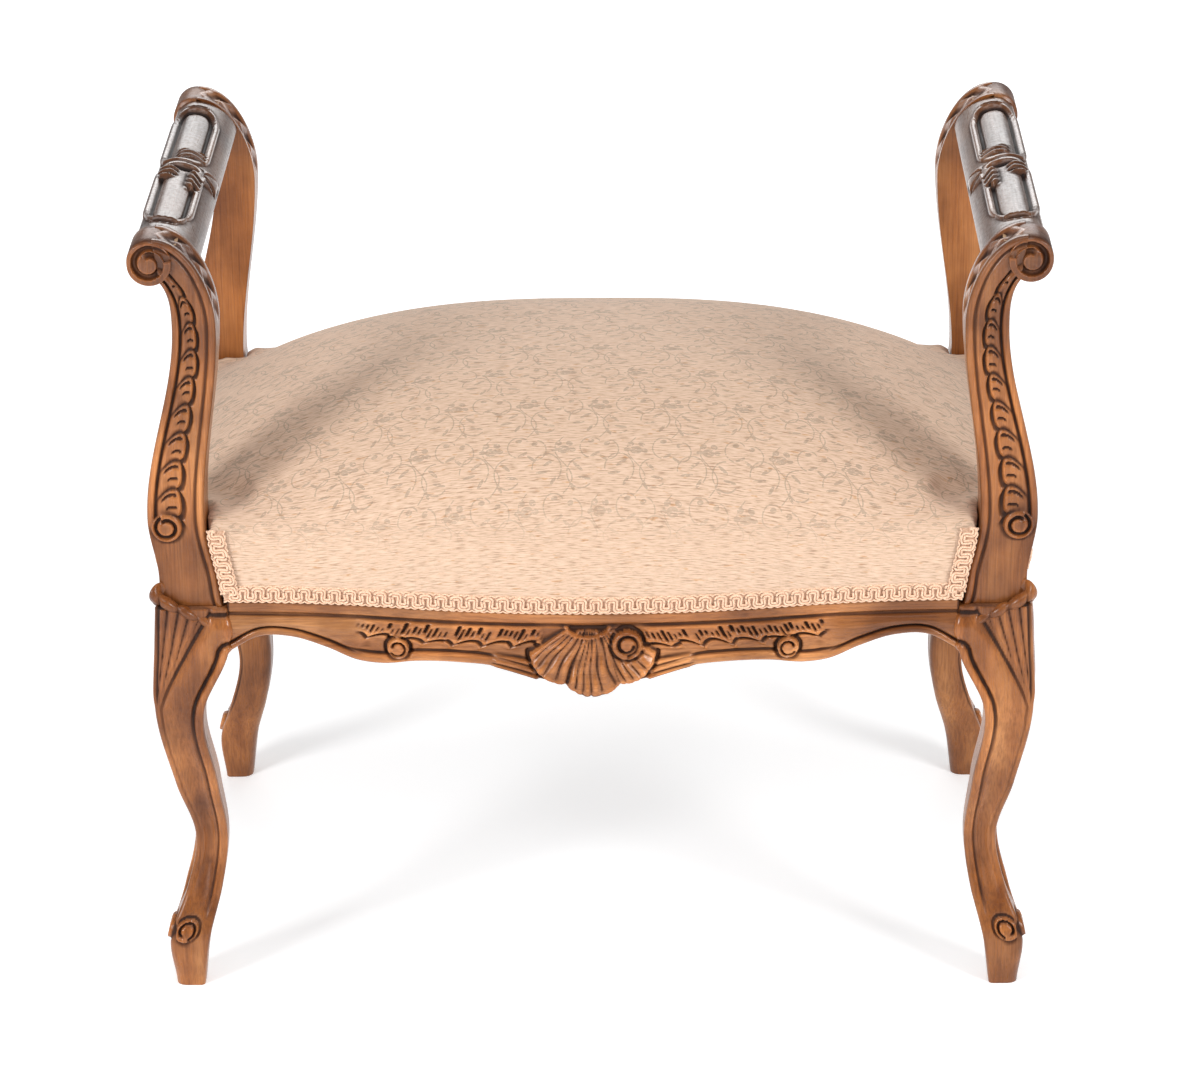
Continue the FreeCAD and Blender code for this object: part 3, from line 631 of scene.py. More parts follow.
def front_carving(x, z, edge):
    """Relief on the front rail."""
    a = np.abs(x)
    rise = z - edge
    top = show_line - z
    relief = 0.8 * ridge(top, 5.0, 5.0) - 1.3 * ridge(top, 11.0, 2.0)
    plain = step(190, 212, a)
    groove_end = 12.4
    share = np.clip((top - groove_end) / np.maximum(show_line - groove_end - edge - 8, 1), 0, 1)
    cyma = np.sin(np.pi * share) ** 0.7
    relief = relief + plain * 5.0 * cyma
    frieze = (1 - step(188, 204, a)) * step(40, 48, a)
    lean = a - 0.35 * (frieze_top - z) - 0.012 * (frieze_top - z) ** 2
    place = (lean - 40) / 25
    tuft = np.mod(place, 1)
    chance = np.mod(np.sin(np.floor(place) * 12.99 + np.sign(x)) * 437.5, 1)
    cut = lean / 4.5
    luck = np.mod(np.sin(np.floor(cut) * 78.2 + 3 * np.sign(x)) * 437.5, 1)
    slot = ridge(np.mod(cut, 1), 0.5, 0.24 + 0.24 * luck) * (luck > 0.06)
    wave = np.sin(np.pi * np.mod(tuft + 0.35, 1)) ** 0.8
    hem = 333.5 + (3.8 + 3.0 * chance) * wave + 0.03 * np.maximum(a - 120, 0)
    strip = step(hem - 0.8, hem + 1.0, z) * (1 - step(350.5, frieze_top, z))
    reach = step(hem + 4 * luck, hem + 3 + 4 * luck, z) * (1 - step(342 + 7 * luck, 346 + 6 * luck, z))
    curl = 1.4 + 2.2 * np.sqrt(np.clip((frieze_top - z) / 16, 0, 1)) - (2.0 + 2.2 * luck) * slot * reach
    relief = relief + frieze * (strip * curl - 2.2 * ridge(z, hem - 2.0, 1.6))
    hollow = np.clip(rise - 8, 0, None) / np.maximum(hem - 4 - edge - 8, 1)
    relief = relief - 1.6 * frieze * np.sin(np.pi * np.clip(hollow, 0, 1))
    bead = 2.8 * ridge(rise, 4.5, 4.5) - 1.4 * ridge(rise, 10.0, 1.4)
    lip_bead = 2.4 * ridge(rise, 3.6, 3.6) - 1.5 * ridge(rise, 8.6, 2.0)
    relief = relief + (bead * (1 - plain) + lip_bead * plain) * step(78, 90, a)
    leaf = np.abs(np.sin(np.pi * (rise + 1.2 + 0.04 * (a - 44)) / 6.2))
    ear = step(44, 48, a) * (1 - step(80, 88, a)) * (1 - step(13, 16, rise + 0.18 * (a - 60)))
    relief = relief * (1 - ear) + ear * (0.6 + 3.2 * leaf ** 0.7)
    angle = np.arctan2(x, np.maximum(shell_root - z, 1))
    spread = np.hypot(x, shell_root - z)
    lobe = np.abs(np.cos(angle * 4.5))
    limit = 75 - 7 * (angle / 0.95) ** 2 - 6 * (1 - lobe ** 0.6)
    shell = (1 - step(limit - 1.5, limit + 1.0, spread)) * (1 - step(0.92, 0.98, np.abs(angle)))
    shell = shell * (1 - step(347, 350, z))
    around = step(limit, limit + 2, spread) * (1 - step(82, 92, spread)) * (1 - ear) * (z < 330)
    relief = relief * (1 - around) - 1.5 * around
    flute = np.abs(np.sin(angle * 25 + 0.9 * np.sin(angle * 9 + 1.3) + 0.4 * np.sin(0.16 * spread)))
    rough = 0.5 + 0.5 * np.sin(angle * 13 + 2) * np.sin(0.2 * spread + angle * 5)
    low = step(332, 298, z)
    body = 2.5 + (1.5 + 4.5 * low) * lobe ** 0.6 + (1.6 + 2.6 * rough) * flute ** 0.5 + 1.5 * low
    relief = relief * (1 - shell) + shell * (body - 2.0 * step(334, 347, z))
    relief = relief - 2.0 * ridge(spread, limit + 2.2, 1.8) * (np.abs(angle) < 1.0) * (z < 346)
    lens = 1 - (((x + 4) / 19) ** 2 + ((z - 353) / 10.5) ** 2)
    eye = 2.2 * ridge(lens, 0.10, 0.25) - 3.0 * step(0.1, 0.35, lens)
    relief = relief + eye * (1 - step(351.5, 352.5, z))
    for middle, height, radius, start, hand, turns, lift in ((164.5, 327, 9.0, -0.5, -1, 5.8, 5.0),
                                                             (-164.5, 327, 9.0, 3.64, 1, 5.8, 5.0),
                                                             (29, 337, 12.5, -1.6, 1, 8.0, 9.0)):
        relief = relief - 2.0 * ridge(np.hypot(x - middle, z - height), radius + 1.6, 1.8)
        relief = with_scroll(relief, x - middle, z - height, radius, start, hand, turns, lift, depth=4.4)
    return relief


def side_edge(x):
    """Height of the lower edge of a side rail."""
    return smooth(np.abs(x), [0, 14, 38, 60, 78.5, 100, 126.5, 150, short_half_span],
                  [303, 305, 314, 315.5, 312, 320, 333, 331, 318])


def side_carving(x, z, edge):
    """Relief on a side rail."""
    a = np.abs(x)
    rise = z - edge
    top = show_line - z
    relief = -1.2 * ridge(top, 11.0, 1.6) + 0.8 * ridge(top, 5.5, 5.5)
    groove_end = 12
    share = np.clip((top - groove_end) / np.maximum(show_line - groove_end - edge, 1), 0, 1)
    cyma = 3.2 * np.sin(np.pi * share) ** 0.9
    relief = relief + cyma * (top > groove_end) + 1.6 * ridge(rise, 3.5, 3.5) - 1.2 * ridge(rise, 8.4, 1.4)
    shell = (1 - step(28, 34, a)) * (1 - step(338, 344, z))
    flute = np.abs(np.sin(np.arctan2(x, np.maximum(356 - z, 1)) * 11))
    relief = relief * (1 - shell) + shell * (3.0 + 3.0 * flute ** 0.6)
    for middle, start, hand in ((78, -0.5, -1), (-78, 3.64, 1)):
        relief = with_scroll(relief, x - middle, z - 327, 9.0, start, hand, turns=7.2, lift=4.2, depth=3.4)
    return relief


def rail(half_span, face, bow_of, edge_of, carving_of, columns):
    """A rail: its carved face from the sawn edge up, then the rebate, the back and the hollow below."""
    x = np.linspace(-half_span, half_span, columns)[:, None]
    edge = edge_of(x)
    share = np.linspace(0, 1, 84)[None, :]
    z = edge + (show_line - edge) * share
    out = bow_of(x)
    relief = carving_of(x, z, edge)
    near_edge = 3.0 * (1 - ridge(np.minimum(z - edge, 4.0), 4.0, 4.0))
    flat = np.broadcast_to(x, z.shape)
    front = np.dstack([flat, -(face + out + relief - near_edge), z])
    behind = face + out
    rebate, thick, thin = 7, 34, 18
    rail_top, hollow_top = 392, 338
    sections = [(behind - rebate, show_line), (behind - rebate, rail_top), (behind - thick, rail_top),
                (behind - thick, hollow_top), (behind - thin, hollow_top), (behind - thin, edge + 0.5)]
    rest = [np.dstack([x, -depth, height + 0 * x]) for depth, height in sections]
    points = np.concatenate([front] + rest, 1)
    wear_and_shade = worn_and_shaded(np.concatenate([relief - near_edge, np.zeros((columns, len(sections)))], 1))
    # The top of the face and the back stay even; the rows along the sawn edge are set a little darker and the
    # two columns at each end much darker.
    wear_and_shade[:, len(share[0]) - 4:] = 0.5
    wear_and_shade[:, :3] = 0.35
    wear_and_shade[:2] = 0.12
    wear_and_shade[-2:] = 0.12
    return [patch(points[::-1], wear_and_shade[::-1], True, True)]


for side, flip in (("front", 1), ("back", -1)):
    long_rail = rail(long_half_span, front_face, long_bow, front_edge, front_carving, 620)
    carved("carved_%s_rail" % side, long_rail, lengthwise, side + "_rail", (1, flip))
for side, flip in (("right", 1), ("left", -1)):
    short_rail = rail(short_half_span, side_face, short_bow, side_edge, side_carving, 340)
    carved("carved_%s_rail" % side, short_rail, crosswise, side + "_rail", (flip, 1), True)


# Seat: hair stuffing domed over the springs, under a cream damask with a tonal sprig, drawn down to the rails
# and cut round the four arm posts.

def damask():
    """Cream cloth with a crosswise slub, brown flecks, and rows of a leafy sprig in a darker thread."""
    material, tree, shader = tree_of("damask")
    laid = given(tree, "laid", "Vector")
    parts = tree.nodes.new("ShaderNodeSeparateXYZ")
    tree.links.new(laid, parts.inputs["Vector"])
    x, y = parts.outputs["X"], parts.outputs["Y"]

    def maths(kind, a, b=None):
        node = tree.nodes.new("ShaderNodeMath")
        node.operation = kind
        for socket, value in zip(node.inputs, (a, b)):
            if isinstance(value, bpy.types.NodeSocket):
                tree.links.new(value, socket)
            elif value is not None:
                socket.default_value = value
        return node.outputs[0]

    def threads(across, along, detail):
        scaled = tree.nodes.new("ShaderNodeVectorMath")
        scaled.operation = "MULTIPLY"
        scaled.inputs[1].default_value = (across, along, 1.0)
        tree.links.new(laid, scaled.inputs[0])
        return noise(tree, scaled.outputs["Vector"], 1.0, detail)

    def weighed(a, by_a, b, by_b):
        return maths("ADD", maths("MULTIPLY", a, by_a), maths("MULTIPLY", b, by_b))

    bent = maths("MULTIPLY", maths("SUBTRACT", noise(tree, laid, 14.0, 2), 0.5), 0.006)
    row_height, column_width = 0.046, 0.061
    row = maths("DIVIDE", maths("ADD", maths("ADD", y, bent), 1.0), row_height)
    odd = maths("MULTIPLY", maths("MODULO", maths("FLOOR", row), 2.0), 0.5)
    column = maths("ADD", maths("DIVIDE", maths("ADD", x, 1.0), column_width), odd)
    u = maths("FRACT", column)
    v = maths("FRACT", row)

    def leaf(centre, size, angle):
        """An oval in the repeat of the cloth."""
        c, s = math.cos(angle), math.sin(angle)
        dx = maths("SUBTRACT", u, centre[0])
        dy = maths("SUBTRACT", v, centre[1])
        long = weighed(dx, c / size[0], dy, s / size[0])
        wide = weighed(dx, -s / size[1], dy, c / size[1])
        return maths("LESS_THAN", weighed(long, long, wide, wide), 1.0)

    def tendril(centre, radius, gap):
        """An open ring, with its gap towards one side."""
        dx = maths("SUBTRACT", u, centre[0])
        dy = maths("MULTIPLY", maths("SUBTRACT", v, centre[1]), row_height / column_width)
        away = maths("SQRT", weighed(dx, dx, dy, dy))
        curl = maths("LESS_THAN", maths("ABSOLUTE", maths("SUBTRACT", away, radius)), 0.009)
        towards = weighed(dx, math.cos(gap), dy, math.sin(gap))
        return maths("MULTIPLY", curl, maths("LESS_THAN", towards, 0.4 * radius))

    wave = maths("ADD", 0.5, maths("MULTIPLY", maths("SINE", maths("MULTIPLY", v, 6.283)), 0.12))
    mask = maths("LESS_THAN", maths("ABSOLUTE", maths("SUBTRACT", u, wave)), 0.010)
    petal, bud, blade = (0.052, 0.044), (0.046, 0.038), (0.080, 0.024)
    for centre, size, angle in (((0.50, 0.74), (0.085, 0.075), 0.3), ((0.43, 0.86), petal, 1.0),
                                ((0.58, 0.86), petal, -1.0), ((0.38, 0.74), (0.048, 0.040), 0.2),
                                ((0.62, 0.74), (0.048, 0.040), -0.2), ((0.30, 0.50), (0.095, 0.026), 0.7),
                                ((0.70, 0.44), (0.095, 0.026), 2.3), ((0.20, 0.33), (0.090, 0.024), 0.2),
                                ((0.79, 0.25), (0.090, 0.024), 2.9), ((0.36, 0.20), blade, 1.1),
                                ((0.62, 0.12), blade, 2.0), ((0.06, 0.58), blade, 2.4),
                                ((0.94, 0.66), (0.085, 0.024), 0.6), ((0.10, 0.86), bud, 0.9),
                                ((0.88, 0.92), bud, 0.4)):
        mask = maths("MAXIMUM", mask, leaf(centre, size, angle))
    for centre, radius, gap in (((0.27, 0.40), 0.20, -1.9), ((0.74, 0.34), 0.19, 0.4),
                                ((0.12, 0.74), 0.14, 2.6), ((0.88, 0.80), 0.15, -0.6)):
        mask = maths("MAXIMUM", mask, tendril(centre, radius, gap))
    # The motif fades out over the turned-down borders, a painted sheen standing in for the shine of its threads
    # under the front light.
    past_front = maths("SUBTRACT", maths("ABSOLUTE", y), 0.215)
    past_side = maths("SUBTRACT", maths("ABSOLUTE", x), 0.350)
    turned_down = maths("MAXIMUM", maths("MAXIMUM", past_front, past_side), 0.0)
    on_top = maths("SUBTRACT", 1.0, maths("MULTIPLY", maths("MINIMUM", turned_down, 0.04), 21.0))
    slub = threads(95.0, 1050.0, 4)
    broken = threads(260.0, 900.0, 2)
    fleck = threads(85.0, 340.0, 2)
    mask = maths("MULTIPLY", mask, maths("MULTIPLY", maths("GREATER_THAN", broken, 0.42), 0.52))
    mask = maths("MULTIPLY", mask, on_top)
    ground = ramp(tree, slub, [(0.32, (0.40, 0.248, 0.158)), (0.47, (0.66, 0.456, 0.322)),
                               (0.64, (0.75, 0.545, 0.405))])
    flecks = ramp(tree, fleck, [(0.63, 1.0), (0.71, (0.80, 0.58, 0.34))])
    colour = mixed(tree, "MULTIPLY", 0.7, ground, flecks)
    colour = mixed(tree, "MIX", mask, colour, (0.30, 0.225, 0.160))
    laid_on(tree, shader, colour, roughness=0.85, sheen=0.15)
    bumped(tree, shader, slub, strength=0.7, distance=0.0007)
    return material


seat_crown = 525.0


def dome(x, y):
    """Height of the top of the seat, with a furrow pulled in from each front corner cut."""
    height = seat_crown - 84 * (np.abs(x) / 366) ** 2.7 - 86 * (np.abs(y) / 246) ** 2.7
    past_x, past_y = 322 - np.abs(x), 188 - np.abs(y)
    inward = 0.8 * past_x + 0.6 * past_y
    aside = 0.6 * past_x - 0.8 * past_y
    pull = np.where(y < 0, 10.0, 0.5)
    return height - pull * np.exp(-(aside / 16) ** 2) * np.exp(-(np.maximum(inward, 0) / 55) ** 2)


def seat_outline(z, grow):
    """A quarter of the seat's plan at one height, from the front middle round the post to the side middle."""
    count = 150
    clear = 1.0
    edge = float(post_edge(z)) - clear
    notch = 180.0 - 1.5
    x = np.linspace(0, edge, count)
    front = np.stack([x, -front_face - grow - long_bow(x)], -1)
    y = np.linspace(-notch, 0, count // 2)
    side = np.stack([side_face + grow + short_bow(y), y], -1)
    inward = np.stack([np.full(20, edge), np.linspace(front[-1, 1], -notch, 20)], -1)[1:]
    outward = np.stack([np.linspace(edge, side[0, 0], 24), np.full(24, -notch)], -1)[1:-1]
    return np.concatenate([front, inward, outward, side])


def eased(line, turns):
    """Rounds the turns of a closed line a little."""
    for _ in range(turns):
        line = 0.25 * np.roll(line, 1, 0) + 0.5 * line + 0.25 * np.roll(line, -1, 0)
    return line


def whole(quarter):
    """The whole plan from one quarter."""
    half = np.concatenate([quarter, (quarter[:-1] * (1, -1))[::-1]])
    return np.concatenate([half, (half[1:-1] * (-1, 1))[::-1]])


def seat():
    """The seat as loops from the show line up the border and in over the dome; tight beside the posts."""
    loops = []
    border_heights = [364, 366, 376, 394, 406, 418, 432]
    border_swell = [-1.5, 0.5, 3.0, 5.0, 5.0, 3.6, -2.0]
    for z in [364, 366] + list(np.arange(369, 433, 3)):
        grow = float(np.interp(z, border_heights, border_swell))
        line = eased(whole(seat_outline(z, grow)), 6)
        loops.append(np.column_stack([line, np.full(len(line), float(z))]))
    rim = loops[-1][:, :2]
    at_post = (np.abs(rim[:, 0]) > 300) & (np.abs(rim[:, 1]) > 172) & (np.abs(rim[:, 1]) < 216)
    at_post = eased(at_post.astype(float), 12)
    rim_height, least_height, rounding = 432, 438, 16.0
    for share in np.concatenate([1 - 0.01 * np.arange(1, 24), np.linspace(0.75, 0.02, 46)]):
        line = eased(rim * share, int(14 * (1 - share) ** 0.5))
        gap = (1 - share) * np.linalg.norm(rim, axis=1)
        rise = np.maximum(dome(line[:, 0], line[:, 1]), least_height) - rim_height
        height = rim_height + rise * (1 - (1 - at_post) * np.exp(-gap / rounding))
        loops.append(np.column_stack([line, height]))
    points = np.array(loops)
    soft = slice(10, 50)
    tight = points.copy()
    for _ in range(26):
        points[soft] = 0.25 * points[9:49] + 0.5 * points[soft] + 0.25 * points[11:51]
    points = points + (tight - points) * at_post[None, :, None]
    points = np.concatenate([points[:1] * (0.9, 0.9, 1), points])
    return [patch(points, None, True, True)]


def of_points(mesh, what):
    """The places or the normals of a mesh's points."""
    values = np.zeros(len(mesh.vertices) * 3)
    mesh.vertices.foreach_get(what, values)
    return values.reshape(-1, 3)


def unrolled(mesh):
    """Where each point of the cover lay in the flat cloth, with the borders folded out."""
    x, y, z = of_points(mesh, "co").T
    border_top = 0.436
    drop = np.clip(border_top - z, 0, None)
    past_front = np.abs(y) - 0.001 * (front_face + long_bow(1000 * x))
    past_side = np.abs(x) - 0.001 * (side_face + short_bow(1000 * y))
    in_front = past_front > past_side
    u = x + np.where(in_front, 0, np.sign(x) * drop)
    v = y + np.where(in_front, np.sign(y) * drop, 0)
    flat = mesh.attributes.new("laid", "FLOAT_VECTOR", "POINT")
    flat.data.foreach_set("vector", np.stack([u, v, 0 * u], -1).ravel())


def made_by(piece, kind, **settings):
    """The mesh of a piece after one modifier."""
    modifier = piece.modifiers.new("making", kind)
    for setting, value in settings.items():
        setattr(modifier, setting, value)
    mesh = bpy.data.meshes.new_from_object(piece.evaluated_get(bpy.context.evaluated_depsgraph_get()))
    piece.modifiers.clear()
    return mesh


def stuffed(piece):
    """The cover swollen over its stuffing as cloth, held where it is tacked and at the corner cuts."""
    piece.data = made_by(piece, "REMESH", mode="VOXEL", voxel_size=0.006)
    mesh = piece.data
    spots, outward = of_points(mesh, "co"), of_points(mesh, "normal")
    x, y, z = np.abs(spots).T
    tacked = z < 0.375
    cut = (y > 0.168) & (x > 0.001 * post_edge(1000 * z) - 0.012)
    held = tacked | cut
    slack = 0.001
    start = spots - slack * outward * ~held[:, None]
    mesh.vertices.foreach_set("co", start.ravel())
    piece.vertex_groups.new(name="held").add(np.flatnonzero(held).tolist(), 1.0, "REPLACE")
    cover = piece.modifiers.new("cover", "CLOTH")
    cover.settings.use_pressure = True
    cover.settings.uniform_pressure_force = 4.0
    cover.settings.effector_weights.gravity = 0.0
    cover.settings.vertex_group_mass = "held"
    cover.settings.bending_stiffness = 4.0
    cover.collision_settings.use_collision = False
    moments = 20
    cover.point_cache.frame_end = moments
    for moment in range(1, moments + 1):
        bpy.context.scene.frame_set(moment)
    swollen = piece.evaluated_get(bpy.context.evaluated_depsgraph_get()).to_mesh()
    moved = of_points(swollen, "co") - start
    far = np.linalg.norm(moved, axis=1)[:, None]
    furthest = 0.008
    ends = start + moved * np.minimum(1, furthest / np.maximum(far, 1e-9))
    piece.modifiers.clear()
    piece.vertex_groups.clear()
    bpy.context.scene.frame_set(1)
    mesh.vertices.foreach_set("co", ends.ravel())
    mesh.update()
    return made_by(piece, "SUBSURF", levels=1, render_levels=1)


cloth = damask()
cushion = carved("damask_seat", seat(), cloth)
cushion.data = stuffed(cushion)
cushion.data.materials.clear()
cushion.data.materials.append(cloth)
cushion.data.polygons.foreach_set("use_smooth", [True] * len(cushion.data.polygons))
unrolled(cushion.data)
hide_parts("seat_cover", "seat_stuffing")


# Gimp: a braid of paired cords in a meander, with a looped edge above and below, glued over the raw edge of
# the cover and turned up beside the arm posts.

def gimp_material():
    """Cream cord; the flat backing under the cords is darkened as painted shade."""
    material, tree, shader = tree_of("gimp")
    twist = noise(tree, stretched(tree, (900.0, 900.0, 900.0)), 1.0, 2)
    colour = ramp(tree, twist, [(0.3, (0.60, 0.350, 0.220)), (0.55, (0.75, 0.510, 0.355)),
                                (0.75, (0.80, 0.580, 0.430))])
    shade = ramp(tree, given(tree, "wear_and_shade", "Fac"), [(0.1, (0.52, 0.42, 0.37)), (0.5, 1.15)])
    colour = mixed(tree, "MULTIPLY", 1.0, colour, shade)
    laid_on(tree, shader, colour, roughness=0.7, sheen=0.2)
    bumped(tree, shader, twist, strength=0.4, distance=0.0004)
    return material


def tube(line, radius):
    """A round cord along a line, as a patch."""
    sides = 6
    run = unit(np.gradient(line, axis=0))
    up = unit(np.cross(run, np.roll(run, 1, 0) * (0.3, 1, 0.7) + (0.11, 0.07, 0.9)))
    side = np.cross(run, up)
    turn = np.linspace(0, 2 * np.pi, sides, endpoint=False)
    ring_of = np.cos(turn)[None, :, None] * side[:, None, :] + np.sin(turn)[None, :, None] * up[:, None, :]
    return patch(line[:, None, :] + radius * ring_of, None, True, True)


def braid(path, outward, upward):
    """Cords of the gimp along a path of points; outward and upward are directions at each point."""
    reach = np.concatenate([[0], np.cumsum(np.linalg.norm(np.diff(path, axis=0), axis=1))])
    meander = 13.0
    repeats = max(3, round(reach[-1] / meander))
    pitch = reach[-1] / repeats

    def laid(s, up_by, out_by):
        at = [np.interp(s, reach, path[:, k]) for k in range(3)]
        out = np.stack([np.interp(s, reach, outward[:, k]) for k in range(3)], -1)
        rise = np.stack([np.interp(s, reach, upward[:, k]) for k in range(3)], -1)
        return np.stack(at, -1) + out * np.reshape(out_by, (-1, 1)) + rise * np.reshape(up_by, (-1, 1))

    patches = []
    t = np.linspace(0, repeats, repeats * 36)
    wave = 2 * np.pi * t
    s = (t - 0.12 * np.sin(2 * wave)) * pitch
    rise = 8.0 + 4.5 * np.tanh(1.3 * np.sin(wave)) / math.tanh(1.3)
    run = unit(np.stack([np.gradient(s), np.gradient(rise)], -1))
    lift = 1.7 + 0.3 * np.cos(wave)
    for offset in (-1.15, 1.15):
        patches.append(tube(laid(s - run[:, 1] * offset, rise + run[:, 0] * offset, lift), 1.05))
    t = np.linspace(0, repeats, repeats * 24)
    for level, sign, phase in ((2.0, -1, 0.25), (14.0, 1, 0.75)):
        edge = level + sign * 1.3 * np.abs(np.sin(2 * np.pi * (t + phase)))
        patches.append(tube(laid(t * pitch, edge, 1.0), 0.8))
    # The flat backing takes a low value, so the gimp finish paints it in shade beneath the cords.
    flat = np.array([laid(reach, level, 0.5) for level in (1.0, 5.0, 10.0, 15.0)])
    patches.append(patch(flat, np.full(flat.shape[:2], 0.30)))
    return patches


def border_line(points, column):
    """The rise of the border at one place of the outline."""
    line = points[1:40, column]
    return line[np.argsort(line[:, 2])]


seat_points = seat()[0][0]
plan = seat_points[10, :, :2]
beside_front = border_line(seat_points, np.argmin(np.hypot(plan[:, 0] - 306, plan[:, 1] + 232)))
beside_side = border_line(seat_points, np.argmin(np.hypot(plan[:, 0] - 372, plan[:, 1] + 168)))


def alike(direction, points):
    """The same direction at every point."""
    return np.tile(np.array(direction, float), (len(points), 1))


climb_start = 372


def front_braid(top):
    """The braid along a long rail and up beside both its posts, as far as a top."""
    x = np.linspace(-311, 311, 312)
    path = np.column_stack([x, -front_face - 1.5 - long_bow(x), np.full(len(x), show_line)])
    run = np.gradient(path, axis=0)
    outward = unit(np.column_stack([run[:, 1], -run[:, 0], 0 * x]))
    patches = braid(path, outward, alike((0, 0, 1), x))
    for sign in (1, -1):
        z = np.linspace(climb_start, top, 40)
        edge = post_edge(z) - 1.0
        path = np.column_stack([sign * edge, np.interp(z, beside_front[:, 2], beside_front[:, 1]) - 0.6, z])
        patches += braid(path, alike((0, -1, 0), z), alike((-sign, 0, 0), z))
    return patches


def side_braid():
    """The braid along a side rail and up beside both its posts."""
    y = np.linspace(-177, 177, 178)
    path = np.column_stack([side_face + 1.5 + short_bow(y), y, np.full(len(y), show_line)])
    patches = braid(path, alike((1, 0, 0), y), alike((0, 0, 1), y))
    for sign in (1, -1):
        z = np.linspace(climb_start, 426, 38)
        reach = np.interp(z, beside_side[:, 2], beside_side[:, 0]) + 0.6
        path = np.column_stack([reach, np.full(len(z), sign * 177.5), z])
        patches += braid(path, alike((1, 0, 0), z), alike((0, -sign, 0), z))
    return patches


cord_cloth = gimp_material()
for side, flips, climb_top in (("front", (1, 1), 428), ("back", (1, -1), 416)):
    carved("braid_" + side, front_braid(climb_top), cord_cloth, "gimp_" + side, flips)
for side, flips in (("right", (1, 1)), ("left", (-1, 1))):
    carved("braid_" + side, side_braid(), cord_cloth, "gimp_" + side, flips)


# Underside: black cotton tacked up inside the rails. It hides the jute webbing, the coppered springs, the
# canvas over them, and the beech blocks glued behind the legs.

def plain_cloth(name, colour, threads):
    """A plain weave, with so many threads to the metre."""
    material, tree, shader = tree_of(name)
    weave = noise(tree, stretched(tree, (threads, threads, threads)), 1.0, 2)
    dark = tuple(0.6 * c for c in colour)
    laid_on(tree, shader, ramp(tree, weave, [(0.35, dark), (0.65, colour)]), roughness=0.95)
    bumped(tree, shader, weave, strength=0.3, distance=0.0004)
    return material


def under_cloth():
    """A sheet that hangs a little below the webbing and is tacked round the edge."""
    low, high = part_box("bottom_cloth")
    half_width, half_depth = high.x * 1000 - 8, high.y * 1000 - 34
    x = np.linspace(-half_width, half_width, 90)[:, None]
    y = np.linspace(-half_depth, half_depth, 60)[None, :]
    edge = np.minimum((1 - np.abs(x / half_width)), (1 - np.abs(y / half_depth)))
    stretch = 1 + step(0.5, 1, np.abs(y / half_depth)) * long_bow(x) / half_depth
    inside = np.clip(np.minimum(np.abs(x), 305) / np.maximum(np.abs(x), 1e-6), 0, 1)
    corner = step(0.84, 0.94, np.abs(x) / half_width) * step(0.72, 0.86, np.abs(y) / half_depth)
    shrink = 1 - corner * (1 - inside)
    z = low.z * 1000 - 0.4 - 3.0 * step(0, 0.3, edge)
    points = np.dstack([x * shrink + 0 * y, y * stretch, z])
    return [patch(points[:, ::-1])]


black_cotton = plain_cloth("black_cloth", (0.025, 0.025, 0.027), 700.0)
lining = carved("under_cloth", under_cloth(), black_cotton, "bottom_cloth")


def pale_wood(name):
    """Beech of the hidden blocks: pale, with short darker flecks."""
    material, tree, shader = tree_of(name)
    grain = noise(tree, stretched(tree, (60.0, 60.0, 9.0)), 3.0, 4)
    colour = ramp(tree, grain, [(0.3, (0.36, 0.20, 0.10)), (0.7, (0.56, 0.36, 0.20))])
    laid_on(tree, shader, colour, roughness=0.6)
    bumped(tree, shader, grain, strength=0.2, distance=0.0004)
    return material


def coppered_wire(name):
    """Steel wire with a thin copper wash, dulled in patches."""
    material, tree, shader = tree_of(name)
    stain = noise(tree, stretched(tree, (90.0, 90.0, 90.0)), 1.0, 3)
    colour = ramp(tree, stain, [(0.35, (0.25, 0.14, 0.09)), (0.65, (0.55, 0.36, 0.25))])
    tree.links.new(colour, shader.inputs["Base Color"])
    tree.links.new(ramp(tree, stain, [(0.35, 0.6), (0.65, 0.35)]), shader.inputs["Roughness"])
    shader.inputs["Metallic"].default_value = 1.0
    return material


webbing = plain_cloth("webbing", (0.48, 0.40, 0.28), 300.0)
canvas = plain_cloth("canvas", (0.55, 0.45, 0.30), 500.0)
beech = pale_wood("beech")
spring_wire = coppered_wire("spring_wire")
hidden = {"cross_webbing": webbing, "long_webbing": webbing, "spring_canvas": canvas, "arm_tongues": beech,
          "seat_springs": spring_wire}
hidden.update({"corner_block_" + corner: beech for corner in corners})
for node, material in hidden.items():
    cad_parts[node].data.materials.clear()
    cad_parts[node].data.materials.append(material)


# Studio: a pale floor with a painted glow, stronger away from the seat, a white surround, soft boxes at both
# sides, overhead and behind, and the camera of the photograph.

floor_mesh = bpy.data.meshes.new("floor")
floor_mesh.from_pydata([(-20, -20, 0), (20, -20, 0), (20, 20, 0), (-20, 20, 0)], [], [(0, 1, 2, 3)])
floor = bpy.data.objects.new("floor", floor_mesh)
bpy.context.collection.objects.link(floor)
paper, paper_tree, paper_shader = tree_of("paper")
paper_shader.inputs["Base Color"].default_value = (0.93, 0.935, 0.945, 1)
paper_shader.inputs["Roughness"].default_value = 0.9
# Painted light: the floor emits, from 0.40 near the seat to 0.70 further off, to lift its shade.
paper_shader.inputs["Emission Color"].default_value = (1, 1, 1, 1)
reach = paper_tree.nodes.new("ShaderNodeVectorMath")
reach.operation = "LENGTH"
painted_glow = paper_tree.nodes.new("ShaderNodeMapRange")
for limit, value in (("From Min", 0.9), ("From Max", 3.5), ("To Min", 0.40), ("To Max", 0.70)):
    painted_glow.inputs[limit].default_value = value
paper_tree.links.new(stretched(paper_tree, (1.0, 1.0, 1.0)), reach.inputs[0])
paper_tree.links.new(reach.outputs["Value"], painted_glow.inputs["Value"])
paper_tree.links.new(painted_glow.outputs["Result"], paper_shader.inputs["Emission Strength"])
floor_mesh.materials.append(paper)

